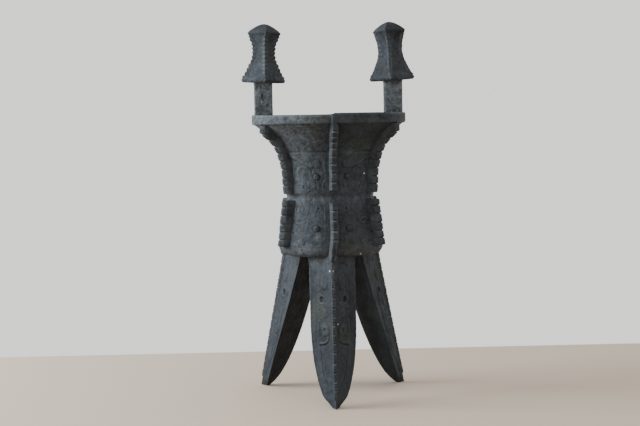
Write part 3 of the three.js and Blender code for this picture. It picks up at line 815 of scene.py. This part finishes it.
def copies_tree():
    """Geometry nodes that set copies of a piece round the vessel's axis."""
    inputs = (("Count", "Int"), ("First angle", "Float"), ("Step angle", "Float"))
    tree, given = new_tree("copies_round_the_axis", inputs)
    nodes, links = tree.nodes, tree.links
    points = nodes.new("GeometryNodePoints")
    links.new(given["Count"], points.inputs["Count"])
    number = nodes.new("GeometryNodeInputIndex")
    angle = nodes.new("ShaderNodeMath")
    angle.operation = "MULTIPLY_ADD"
    links.new(number.outputs[0], angle.inputs[0])
    links.new(given["Step angle"], angle.inputs[1])
    links.new(given["First angle"], angle.inputs[2])
    turned = nodes.new("ShaderNodeCombineXYZ")
    links.new(angle.outputs[0], turned.inputs["Z"])
    placed = nodes.new("GeometryNodeInstanceOnPoints")
    links.new(points.outputs[0], placed.inputs["Points"])
    links.new(given["Geometry"], placed.inputs["Instance"])
    links.new(turned.outputs[0], placed.inputs["Rotation"])
    return end_tree(tree, placed, given)


COPIES = copies_tree()


def evaluated(piece):
    """The plain mesh that a piece's modifiers make."""
    bpy.context.view_layer.update()
    return bpy.data.meshes.new_from_object(piece.evaluated_get(bpy.context.evaluated_depsgraph_get()))


def grown(mesh, tree, values):
    """The plain mesh that a tree of geometry nodes makes of a mesh, with its inputs set by name."""
    carrier = bpy.data.objects.new("carrier", mesh)
    bpy.context.scene.collection.objects.link(carrier)
    modifier = carrier.modifiers.new(tree.name, "NODES")
    modifier.node_group = tree
    values["Material"] = patina
    for item in tree.interface.items_tree:
        if item.in_out == "INPUT" and item.name in values:
            modifier[item.identifier] = values[item.name]
    made = evaluated(carrier)
    bpy.data.objects.remove(carrier)
    return made


def copied_round(mesh, count, first, step):
    """A plain mesh of count copies of a mesh round the axis, at angles in degrees."""
    return grown(mesh, COPIES, {
        "Count": count, "First angle": math.radians(first), "Step angle": math.radians(step)})


def joined(meshes, name):
    work = bmesh.new()
    for mesh in meshes:
        work.from_mesh(mesh)
    whole = bpy.data.meshes.new(name)
    work.to_mesh(whole)
    work.free()
    whole.materials.append(patina)
    return whole


def flange(name, low, high, keys, notches, narrow_below=None, sides=FLANGE_SIDES, across=1.0):
    """One flange at the front, worn a little uneven. Below narrow_below it narrows to a leg's ridge."""
    z = np.arange(low, high + FLANGE_STEP / 2, FLANGE_STEP)
    half = np.full_like(z, FLANGE_HALF_FACE)
    if narrow_below:
        half -= (FLANGE_HALF_FACE - RIDGE_HALF) * np.clip((narrow_below - z) / NARROWING_OVER, 0, 1)
    half = half + WIDTH_WAVERS * np.sin(z * 0.31) * np.sin(z * 0.11 + low)
    reach = read_keys(keys, z) + REACH_WAVERS * np.sin(z * 0.19 + low)
    ends = np.minimum(z - low, high - z)
    reach = reach - END_DROP * (1 - soft_step(ends / END_ROUND))
    root = body_radius(np.clip(z, BELLY_LOW, RIM_LOW)) - FLANGE_SUNK
    cut = notch(z, notches, NOTCH_HALF)
    return toothed_bar(name, z, reach, root, half, sides, cut, NOTCH_DEPTH, across)


SEAM_SIDES = ((0.0, 0.0), (1.2, 1.4), (6.0, 2.0))
SEAM_HALF, SEAM_ROOT, SEAM_REACH = 1.8, 96.0, 101.2


def rim_seam():
    """The smooth head of the front flange, carried up over the rim where the mould halves met."""
    z = np.arange(351.0, RIM_TOP - 1.0, FLANGE_STEP)
    reach = SEAM_REACH - 1.2 * soft_step((z - 361) / 6)
    return toothed_bar("rim_seam", z, reach, SEAM_ROOT + 0 * z, SEAM_HALF + 0 * z, SEAM_SIDES, 0 * z, 0.0)


FLANGE_TOP = 352.0
LEG_FLANGE_FOOT, NARROW_BELOW = 180.0, 197.0
side_neck = flange("side_neck", 264.0, FLANGE_TOP, NECK_FLANGE_KEYS, SIDE_NECK_NOTCHES)
side_belly = flange("side_belly", NARROW_BELOW, 255.5, BELLY_FLANGE_KEYS, SIDE_BELLY_NOTCHES)
leg_belly = flange("leg_belly", LEG_FLANGE_FOOT, 255.5, BELLY_FLANGE_KEYS, SIDE_BELLY_NOTCHES, NARROW_BELOW)
front_neck = flange("front_neck", 268.5, FLANGE_TOP, NECK_FLANGE_KEYS, FRONT_NECK_NOTCHES, None,
                    FRONT_FLANGE_SIDES, FRONT_SIDE_NOTCH)
front_belly = flange("front_belly", LEG_FLANGE_FOOT, 253.0, BELLY_FLANGE_KEYS, FRONT_BELLY_NOTCHES,
                     NARROW_BELOW, FRONT_FLANGE_SIDES, FRONT_SIDE_NOTCH)
for vert in front_belly.vertices:
    vert.co.x -= FRONT_FLANGE_SHIFT * MM * float(soft_step((SHIFT_FROM - vert.co.z / MM) / SHIFT_OVER))
flange_meshes = [
    copied_round(side_neck, 2, 60, 60),
    copied_round(side_neck, 2, -120, 60),
    copied_round(front_neck, 1, FRONT_FLANGE_TURN, 0),
    copied_round(side_belly, 2, -60, 120),
    copied_round(leg_belly, 2, -120, 240),
    copied_round(front_belly, 1, FRONT_FLANGE_TURN, 0),
    copied_round(rim_seam(), 1, SEAM_TURN, 0),
]
flanges = settle(joined(flange_meshes, "flanges"), "flanges")
FLANGE_DUST = ((180, 0.08), (200, 0.03), (270, 0.03), (340, 0.02), (352, 0.12), (366, 0.3))

# Painted highlights: pale patches on the lower lip of each notch that the front shows
FRONT_NOTCHES = FRONT_NECK_NOTCHES + FRONT_BELLY_NOTCHES
SIDE_NOTCHES = SIDE_NECK_NOTCHES + SIDE_BELLY_NOTCHES
SHOWN_NOTCHES = ((FRONT_FLANGE_TURN, FRONT_NOTCHES), (-60, SIDE_NOTCHES), (60, SIDE_NOTCHES))
NOTCH_LIP_HIGHLIGHTS = [(turned + shift, z - 0.9, 1.2, 0.8)
              for turned, notches in SHOWN_NOTCHES for z in notches for shift in (-1.4, 0.0, 1.4)]
finish_piece(flanges, 23, 0.14, FLANGE_DUST, NOTCH_LIP_HIGHLIGHTS, deepest=0.43)

# The legs: three leaf-shaped blades of triangular section, cast with the body. Each has a toothed ridge
# outward, half a mask and a pointed blade in low relief on each outer face, and a plain inner face.
LEG_TOP = 187.0
LEG_HALF_WIDTH = 30.0
LEG_FULL_WIDTH_AT = 108.0
RIDGE_SLOPE = 0.222
FOOT_INNER = 101.5
LEG_INNER_DROP = 58.5
LEG_INNER_HEIGHT = 135.0
FACE_COLUMNS = 50
INNER_COLUMNS = 12
LEG_ROW_STEP = 1.0
LEG_FLARE_FROM, LEG_FLARE = 168.0, 3.5
TIP_WIDTH = 0.55
RIDGE_MARGIN, EDGE_MARGIN = 3.5, 3.0
INNER_HOLLOW, HOLLOW_OVER = 0.8, 40


def ridge_radius(z):
    return FRONT_FOOT_REACH - 0.15 - RIDGE_SLOPE * z


def inner_face_radius(z):
    return FOOT_INNER - LEG_INNER_DROP * (np.maximum(z, 0) / LEG_INNER_HEIGHT) ** 0.75


def leg_half_width(z):
    rest = np.maximum(1 - (z + 3) / LEG_FULL_WIDTH_AT, 0)
    flare = np.clip((z - LEG_FLARE_FROM) / (LEG_TOP - LEG_FLARE_FROM), 0, 1)
    pointed = TIP_WIDTH + (1 - TIP_WIDTH) * soft_step((z + 4) / 18)
    return LEG_HALF_WIDTH * np.sqrt(1 - rest ** 2) * pointed + LEG_FLARE * flare ** 2


# One outer face of a leg, in millimetres out from its ridge and up from the floor
LEG_FORM = {
    "bands": (
        (((9.3, 122), (10.4, 116.5), (13.4, 110)), 1.6, 0.55),
        (((19, 134), (24.5, 138.2), (31, 135.5), (33, 128)), 2.6, 0.6),
        (((11, 86), (12.6, 82), (18, 78.8), (28, 77.5)), 2.6, 0.6),
        (((26.5, 108), (30.5, 101), (30, 92)), 2.8, 0.55),
        (((6.5, 141), (7.5, 133), (11, 128)), 2.4, 0.5),
        (((29, 158), (31.5, 150), (30, 142)), 2.4, 0.5),
    ),
    "swellings": (
        ((18.5, 154), 6.8, 1.38, 1.05), ((17.2, 115.5), 4.6, 1.25, 0.95), ((17.2, 94.5), 7.0, 1.05, 0.9),
        ((15, 126), 3.0, 0.9, 0.5),
    ),
    "rings": (((24.3, 131), 5.0, 0.6, 1.8), ((29, 118), 2.6, 0.3, 0.9), ((17, 94.8), 3.6, 0.35, 0.5)),
    "lines": (
        (((8.3, 95), (9.5, 85.5), (11, 81), (17, 76.5), (27, 74.5)), 1.1, 1.0),
        (((25.9, 73.5), (24.5, 64.5), (22.5, 50), (20.2, 40), (15.3, 31.5), (10.3, 23), (5.6, 17.5)),
         1.05, 1.0),
        (((12, 146), (16, 143), (22, 142.5)), 1.0, 0.5),
        (((6, 176.5), (30, 176.5)), 0.9, 0.35),
        (((10, 104.5), (17, 105.5), (24, 103)), 0.9, 0.45),
    ),
}

# Outside this line the faces drop by a bevel
BEVEL = ((32.3, 122.5), (31.6, 74.5), (30.6, 52.0), (26.5, 43.0), (21.2, 36.0), (13.8, 24.5), (9.0, 14.0))
BEVEL_DROP = 0.9
LEG_SPIRALS = ((12, 138, -1), (26, 147, 1), (31, 110, 1), (11, 101, 1), (25, 84, -1), (20, 70, 1),
               (13, 60, -1), (29, 168, 1), (12, 170, -1))


def leg_relief(x, z):
    """The ornament of one outer face: x is the distance from the ridge, and z the height."""
    raised = with_ground(x, z, carved(x, z, LEG_FORM), LEG_SPIRALS)
    wide, tall = zip(*reversed(BEVEL))
    past = soft_step((x - np.interp(z, tall, wide) + 0.6) / 1.2)
    return raised * (1 - 0.8 * past) - BEVEL_DROP * past * soft_step((137 - z) / 14) * soft_step((z - 10) / 8)


def leg_grid():
    """The rows of one leg: the two carved faces with the ridge between them, then the hollowed inner face."""
    z = np.arange(0, LEG_TOP + LEG_ROW_STEP / 2, LEG_ROW_STEP)
    ridge, inner, half = ridge_radius(z), inner_face_radius(z), leg_half_width(z)
    face_width = np.hypot(ridge - inner, half)
    across = np.linspace(0, 1, FACE_COLUMNS + 1)
    x = across[None, :] * face_width[:, None]
    lift = leg_relief(x, z[:, None] + 0 * x)
    lift *= soft_step(x / RIDGE_MARGIN) * soft_step((face_width[:, None] - x) / EDGE_MARGIN)
    nr, ns = (half / face_width)[:, None], ((ridge - inner) / face_width)[:, None]
    radius = ridge[:, None] - (ridge - inner)[:, None] * across[None, :] + lift * nr
    side = half[:, None] * across[None, :] + lift * ns
    back = np.linspace(1, -1, INNER_COLUMNS + 1)[1:-1]
    hollow = INNER_HOLLOW * (1 - back ** 2)
    columns = [(radius[:, i], -side[:, i]) for i in range(FACE_COLUMNS, 0, -1)]
    columns += [(radius[:, i], side[:, i]) for i in range(FACE_COLUMNS + 1)]
    columns += [(inner + dent * soft_step(z / HOLLOW_OVER), half * b) for b, dent in zip(back, hollow)]
    radius, side = (
        row * 0.5 + (np.roll(row, 1, 1) + np.roll(row, -1, 1)) * 0.25
        for row in (np.stack(values, 1) for values in zip(*columns)))
    return np.stack([side, -radius, z[:, None] + 0 * side], -1)


RIDGE_PROUD = 1.0
RIDGE_ROOT = 4.0
RIDGE_NOTCH_DEPTH, RIDGE_SIDE_NOTCH = 1.4, 0.3
RIDGE_NOTCH_HALF = 1.2
FINE_TOOTH, FINE_TOOTH_HALF = 0.4, 0.9
RIDGE_LOW, RIDGE_HIGH = 12.0, 181.0
RIDGE_SIDES = ((0.0, 0.0), (1.0, 0.3), (5.0, 1.2))
RIDGE_NOTCHES = (22.8, 33.4, 44.0, 55.4, 68.4, 79.6, 90.8, 101.4, 112.0, 122.6, 135.0, 147.6, 156.4, 167.0)
ridge_z = np.arange(RIDGE_LOW, RIDGE_HIGH, FLANGE_STEP)
fine_teeth = np.concatenate([
    np.linspace(low, high, 4)[1:-1] for low, high in zip(RIDGE_NOTCHES[:-1], RIDGE_NOTCHES[1:])])
ridge_cut = np.maximum(
    notch(ridge_z, RIDGE_NOTCHES, RIDGE_NOTCH_HALF), FINE_TOOTH * notch(ridge_z, fine_teeth, FINE_TOOTH_HALF))
ridge_face = ridge_radius(ridge_z) + RIDGE_PROUD * soft_step((ridge_z - 10) / 6)
ridge_bar = toothed_bar("ridge", ridge_z, ridge_face, ridge_radius(ridge_z) - RIDGE_ROOT,
                        RIDGE_HALF + 0 * ridge_z, RIDGE_SIDES, ridge_cut, RIDGE_NOTCH_DEPTH, RIDGE_SIDE_NOTCH)
one_leg = joined([grid_mesh("leg", leg_grid()), ridge_bar], "one_leg")
legs = settle(copied_round(one_leg, 3, 0, 120), "legs")
LEG_DUST = ((0, 0.06), (60, 0.07), (150, 0.11), (172, 0.24), (187, 0.4))
LEG_PATCHES = [(-28, 180, 9, 0.35), (26, 178, 9, 0.25), (-14, 150, 9, 0.12), (-9, 95, 8, 0.15),
               (-6, 40, 10, 0.12), (-112, 120, 40, 0.12)]
# Painted highlights: pale patches on the lower lip of each notch of the front leg's ridge
LEG_PATCHES += [(0, z - 0.8, 1.5, 0.6) for z in RIDGE_NOTCHES]
LEG_CHIPS = ((-3.2, 167.5, 1.0), (0.3, 168, 1.1), (3.4, 102, 0.8))
finish_piece(legs, 37, 0.2, LEG_DUST, LEG_PATCHES, LEG_CHIPS)

# The posts: two square uprights of bronze, cast with the body, that stand on the rim, run down its inner face
# and carry the caps. The left one keeps a flash line where its mould halves met.
POST_HALF = 11.7
POST_FOOT, POST_TOP = 343.0, 411.0
POST_STEP = 1.2
POST_SIDE_COLUMNS = 17
POST_ROUND = 2.0
POST_FILLET, POST_FILLET_FROM = 1.2, 409.0
FLASH_RISE, FLASH_HALF, FLASH_LEAN = 0.7, 0.7, 0.16
POST_OUTER_KEYS = ((343, 78.0), (348, 85.1), (355, 93.0), (361, 96.0), (411, 96.0))
POST_INNER_KEYS = ((343, 77.2), (352, 72.6), (411, 72.6))


def rounded_oblong(half_x, half_y):
    """The points of one row of a post, once round, as [x, y] pairs with rounded corners."""
    points = []
    for quarter in range(4):
        own, other = (half_x, half_y) if quarter % 2 == 0 else (half_y, half_x)
        x = np.linspace(-1, 1, POST_SIDE_COLUMNS) * own
        corner = np.clip(1 - (own - np.abs(x)) / POST_ROUND, 0, 1)
        y = POST_ROUND * (1 - np.sqrt(1 - corner ** 2)) * 0.6 - other
        a = math.pi / 2 * quarter
        turned = np.stack([x * math.cos(a) - y * math.sin(a), x * math.sin(a) + y * math.cos(a)], 1)
        points.append(turned[:-1])
    return np.vstack(points)


def post_grid(side):
    """The rows of one post. Under the cap it widens by a small fillet."""
    inside, above = np.arange(POST_FOOT, RIM_TOP, POST_STEP), np.arange(RIM_TOP, POST_TOP + 0.5, POST_STEP)
    rings = []
    for height in np.concatenate([inside, above]):
        outer, inner = read_keys(POST_OUTER_KEYS, height), read_keys(POST_INNER_KEYS, height)
        fillet = POST_FILLET * math.exp(min(height - POST_FILLET_FROM, 0) / 1.6)
        ring = rounded_oblong((outer - inner) / 2 + fillet, POST_HALF + fillet)
        off_line = ring[:, 0] + 1.0 + (height - 380) * FLASH_LEAN
        flash = FLASH_RISE * np.exp(-(off_line / FLASH_HALF) ** 2) * (ring[:, 1] < 0)
        flash *= (side < 0) * soft_step((height - 372) / 10)
        x = side * ((outer + inner) / 2) + ring[:, 0]
        rings.append(np.stack([x, ring[:, 1] - flash, np.full(len(ring), height)], 1))
    return np.stack(rings)


post_meshes = [grid_mesh("post", post_grid(side)) for side in (-1, 1)]
posts = settle(joined(post_meshes, "posts"), "posts")
POST_DUST = ((343, 0.4), (366, 1.0), (411, 1.25))
POST_PATCHES = ((-84, 405, 14, 0.25), (84, 405, 16, 0.25))
finish_piece(posts, 41, 0.2, POST_DUST, POST_PATCHES)

# The caps: four-sided finials like small roofs, waisted, with a flared skirt, cast onto the posts corner to
# the front. Both lean a little inward and are turned. The left one keeps its teeth; the right one is rubbed.
CAP_KEYS = ((407.6, 26.0), (409.0, 27.4), (410.8, 27.9), (413.5, 26.7), (418, 23.2), (425, 20.0), (434, 16.9),
            (445, 15.1), (456, 15.9), (465, 18.6), (468.6, 20.6), (471, 21.9), (472.6, 21.2), (476, 17.2),
            (480, 10.8), (482.7, 4.6), (483.5, 0.6))
CAP_SIDE_COLUMNS = 24
CAP_TEETH_PITCH = 5.3
CAP_TOOTH_HALF = 1.5
CAP_RIDGE_SIDES = ((0.0, 0.0), (1.5, 1.0), (6.0, 2.7))
CAP_RIDGE_ROOT = 5.0
CAP_RIDGE_LOW, CAP_RIDGE_HIGH, CAP_FIRST_NOTCH = 414.0, 467.5, 417.0
CAP_DISH = 0.05
CAP_REACH = 28.0
CAP_OUTERMOST = 113.05

# Each cap: how it leans, in degrees; its skirt's and waist's share of the common size; how proud its corners
# are, and how deep their teeth; and its turn, as height and degrees
CAPS = {
    -1: {"lean": 2.3, "skirt": 1.04, "waist": 0.93, "proud": 1.1, "tooth": 1.2,
         "turn": ((407, 7), (440, 11), (471, 8), (484, 8))},
    1: {"lean": 2.8, "skirt": 1.06, "waist": 1.0, "proud": 0.7, "tooth": 0.25,
        "turn": ((407, -6), (425, -10), (461, -11), (471, -18), (484, -18))},
}


def cap_share(form, z):
    """A cap's width at a height as a share of the common one."""
    keys = ((407, "skirt"), (430, "skirt"), (438, "waist"), (456, "waist"))
    return read_keys([(height, form[part]) for height, part in keys] + [(464, 1), (484, 1)], z)


def cap_grid(form):
    """The rows of a cap's body: four slightly hollow faces between soft corners."""
    line = smooth_path([(reach, height) for height, reach in CAP_KEYS], 8)
    line[:, 0] = np.maximum(line[:, 0], 0.4)
    share = np.linspace(0, 1, CAP_SIDE_COLUMNS, endpoint=False)
    rings = []
    for reach, height in np.column_stack([line[:, 0] * cap_share(form, line[:, 1]), line[:, 1]]):
        ring = []
        dish = CAP_DISH * reach * float(soft_step((height - 414) / 10) * soft_step((474 - height) / 6))
        spin = math.radians(read_keys(form["turn"], height))
        for k in range(4):
            a, b = math.pi / 2 * (k - 1) + spin, math.pi / 2 * k + spin
            one = np.array([math.cos(a), math.sin(a)]) * reach
            other = np.array([math.cos(b), math.sin(b)]) * reach
            face = one + (other - one) * share[:, None]
            inward = -(one + other) / max(np.linalg.norm(one + other), 1e-6)
            ring.append(face + inward * (dish * 4 * share * (1 - share))[:, None])
        ring = np.vstack(ring)
        ring = ring * 0.6 + (np.roll(ring, 1, 0) + np.roll(ring, -1, 0)) * 0.2
        rings.append(np.column_stack([ring, np.full(len(ring), height)]))
    return np.stack(rings)


def cap_ridge(form, quarter):
    """The raised ridge of one corner of a cap, notched into teeth where they are kept."""
    z = np.arange(CAP_RIDGE_LOW, CAP_RIDGE_HIGH, 0.5)
    reach = read_keys(CAP_KEYS, z) * cap_share(form, z)
    cut = notch(z, np.arange(CAP_FIRST_NOTCH, CAP_RIDGE_HIGH, CAP_TEETH_PITCH), CAP_TOOTH_HALF)
    bar = toothed_bar("cap_ridge", z, reach + form["proud"], reach - CAP_RIDGE_ROOT, 1.0 + 0 * z,
                      CAP_RIDGE_SIDES, cut, form["tooth"])
    x, y, up = points_of(bar).T
    turns = np.radians(read_keys(form["turn"], up / MM)) + math.pi / 2 * quarter
    turned = np.stack([x * np.cos(turns) - y * np.sin(turns), x * np.sin(turns) + y * np.cos(turns), up], 1)
    bar.vertices.foreach_set("co", turned.ravel())
    return bar


def cap(side):
    form = CAPS[side]
    whole = joined([grid_mesh("cap_body", cap_grid(form))] + [cap_ridge(form, k) for k in range(4)], "cap")
    centre = side * (CAP_OUTERMOST - CAP_REACH * form["skirt"])
    place = Matrix.Translation((centre * MM, 0, 0))
    pivot = Matrix.Translation((0, 0, POST_TOP * MM))
    lean = Matrix.Rotation(math.radians(-side * form["lean"]), 4, "Y")
    whole.transform(place @ pivot @ lean @ pivot.inverted())
    return whole


caps = settle(joined([cap(-1), cap(1)], "caps"), "caps")
CAP_DUST = ((407, 0.3), (420, 0.17), (445, 0.17), (468, 0.2), (484, 0.12))
CAP_PATCHES = ((-90, 415, 20, 0.2), (80, 440, 20, 0.15))
finish_piece(caps, 53, 0.1, CAP_DUST, CAP_PATCHES)

# The handle: a D-shaped bronze loop behind the body, cast on, with an animal's head on its shoulder that has
# horns, round eyes and an upturned snout. The body hides it from the front.
HANDLE_HALF = 8.5
OUTER_LINE = ((71.5, 331.5), (84, 333.4), (96, 334), (106.6, 331.4), (114.4, 324.0), (119.1, 312.1),
              (120.5, 296.0), (118.0, 276.1), (111.1, 258.4), (99.8, 242.7), (84.0, 229.0), (74, 219),
              (65, 208))
INNER_LINE = ((63, 316), (73, 317.5), (82, 318), (90.6, 315.4), (97.8, 309.4), (102.7, 300.1), (104.5, 288.0),
              (101.0, 269.6), (92.2, 254.6), (80.5, 245.1), (68.0, 243.0), (63, 241), (58.5, 238))


def squared_round(count, power):
    """Points round a circle pressed toward a square, from -1 to 1: across and up."""
    a = np.linspace(0, 2 * math.pi, count, endpoint=False)
    return tuple(np.sign(wave) * np.abs(wave) ** power for wave in (np.cos(a), np.sin(a)))


def handle_loop():
    """The loop between its outer and inner line, with shallow cuts across its back."""
    outer, inner = smooth_path(OUTER_LINE, 12), smooth_path(INNER_LINE, 12)
    middle, reach = (outer + inner) / 2, (outer - inner) / 2
    across, out = squared_round(32, 0.55)
    cuts = 0.5 * (np.cos(np.arange(len(outer)) * 0.42) > 0.72)
    rings = []
    for m, r, cut in zip(middle, reach, cuts):
        push = 1 - cut * 0.04 * (out > 0.2)
        rz = m[None, :] + r[None, :] * (out * push)[:, None]
        rings.append(np.stack([across * HANDLE_HALF, rz[:, 0], rz[:, 1]], 1))
    return grid_mesh("loop", np.stack(rings))


# The head's rows: how far out, low edge, high edge and half width
HEAD_RINGS = ((101, 294, 329, 7), (104, 291, 331, 8.5), (107, 287, 333, 12.5), (113, 283, 331, 14),
              (119, 281, 322, 13), (125, 283, 312, 9.5), (131, 287, 306, 7.5), (136, 292, 305, 6.5),
              (138.2, 296.5, 303.2, 4.2))


def animal_head():
    across, up = squared_round(44, 0.72)
    rings = []
    for r, low, high, half in smooth_path(HEAD_RINGS, 7):
        taper = 1 - 0.22 * np.clip(up, 0, 1) - 0.25 * np.clip(-up, 0, 1)
        mouth = 0.9 * np.exp(-((up + 0.28) / 0.12) ** 2) * float(soft_step((r - 117) / 5))
        brow = 1.3 * math.exp(-((r - 112) / 3.2) ** 2) * np.exp(-((up - 0.62) / 0.2) ** 2)
        side = across * (half * taper - mouth + brow)
        rings.append(np.stack([side, r + 0 * up, (low + high) / 2 + (high - low) / 2 * up], 1))
    return grid_mesh("head", np.stack(rings))


# A horn's rows: how far out, how far to the side, its height and its thickness to either side
HORN_RINGS = ((106, 6, 325, 5.2), (106.5, 11, 331, 4.9), (110, 16, 334.4, 4.2), (115.5, 18.4, 334.6, 3.2),
              (120, 17.2, 332.5, 1.9), (122, 15.6, 331.2, 0.9))


def horn(side):
    a = np.linspace(0, 2 * math.pi, 18, endpoint=False)
    rings = []
    for i, (r, out, z, size) in enumerate(smooth_path(HORN_RINGS, 6)):
        size = size * (1 + 0.05 * math.cos(i * 1.6))
        rings.append(np.stack([side * (out + np.cos(a) * size), r + 0 * a, z + np.sin(a) * size], 1))
    return grid_mesh("horn", np.stack(rings))


def bead(centre, size, squash=(1, 1, 1)):
    work = bmesh.new()
    bmesh.ops.create_icosphere(work, subdivisions=3, radius=size * MM)
    for vert in work.verts:
        vert.co = Vector(a * b for a, b in zip(vert.co, squash)) + Vector(centre) * MM
    mesh = bpy.data.meshes.new("bead")
    work.to_mesh(mesh)
    work.free()
    return mesh


HANDLE_VOXEL = 0.8
head_parts = [handle_loop(), animal_head()]
for side in (-1, 1):
    head_parts.append(horn(side))
    head_parts.append(bead((side * 12.2, 115, 311), 3.7))
    head_parts.append(bead((side * 13.2, 103.5, 316), 5.2, (0.7, 0.6, 1.3)))
    head_parts.append(bead((side * 4.6, 134.5, 305.2), 2.4))
handle = settle(joined(head_parts, "handle"), "handle")
remesh = handle.modifiers.new("one_casting", "REMESH")
remesh.mode = "VOXEL"
remesh.voxel_size = HANDLE_VOXEL * MM
fused = evaluated(handle)
handle.modifiers.clear()
handle.data = fused
handle.data.materials.clear()
HANDLE_DUST = ((205, 0.25), (334, 0.25))
finish_piece(handle, 67, 0.1, HANDLE_DUST)

# The studs: round beads cast on the masks for their eyes, each with a pit for its pupil. Those on the left of
# a mask stand a little prouder than those on its right.
STUD_LINE = ((4.0, -1.5), (4.0, 0.4), (3.9, 1.5), (3.4, 2.7), (2.6, 3.5), (1.6, 3.9), (0.9, 3.85), (0.5, 3.6),
             (0.02, 3.4))
STUD_COLUMNS = 24
RIGHT_STUD_LOWER = 0.6


def stud():
    a = np.linspace(0, 2 * math.pi, STUD_COLUMNS, endpoint=False)
    rings = [np.stack([r * np.cos(a), r * np.sin(a), z + 0 * a], 1) for r, z in STUD_LINE]
    return grid_mesh("stud", np.stack(rings))


def studs_tree():
    """Geometry nodes that set a copy of the stud on each point, out along the point's own direction."""
    tree, given = new_tree("studs_on_points", (("Stud", "Object"), ("Size", "Float")))
    nodes, links = tree.nodes, tree.links
    source = nodes.new("GeometryNodeObjectInfo")
    links.new(given["Stud"], source.inputs["Object"])
    direction = nodes.new("GeometryNodeInputNamedAttribute")
    direction.data_type = "FLOAT_VECTOR"
    direction.inputs["Name"].default_value = "out"
    aligned = nodes.new("FunctionNodeAlignRotationToVector")
    aligned.axis = "Z"
    links.new(direction.outputs["Attribute"], aligned.inputs["Vector"])
    placed = nodes.new("GeometryNodeInstanceOnPoints")
    links.new(given["Geometry"], placed.inputs["Points"])
    links.new(source.outputs["Geometry"], placed.inputs["Instance"])
    links.new(aligned.outputs["Rotation"], placed.inputs["Rotation"])
    links.new(given["Size"], placed.inputs["Scale"])
    return end_tree(tree, placed, given)


stud_points, stud_outs = [], []
for nose in (0, 120, 240):
    for side in (-1, 1):
        for height in (BELLY_EYE, NECK_EYE):
            a = math.radians(nose + MASK_TURN + side * EYE_ALONG / PANEL_ALONG * 60)
            radius = float(body_radius(height)) - (RIGHT_STUD_LOWER if side > 0 else 0.0)
            stud_points.append((radius * math.sin(a) * MM, -radius * math.cos(a) * MM, height * MM))
            stud_outs.append((math.sin(a), -math.cos(a), 0.0))
point_mesh = bpy.data.meshes.new("stud_points")
point_mesh.from_pydata(stud_points, [], [])
point_mesh.attributes.new("out", "FLOAT_VECTOR", "POINT").data.foreach_set("vector", np.ravel(stud_outs))
stud_source = bpy.data.objects.new("stud_source", stud())
bpy.context.scene.collection.objects.link(stud_source)
studs = settle(grown(point_mesh, studs_tree(), {"Stud": stud_source, "Size": 1.0}), "studs")
bpy.data.objects.remove(stud_source)
STUD_DUST = ((200, 0.0), (300, 0.0))
finish_piece(studs, 71, 0.06, STUD_DUST)
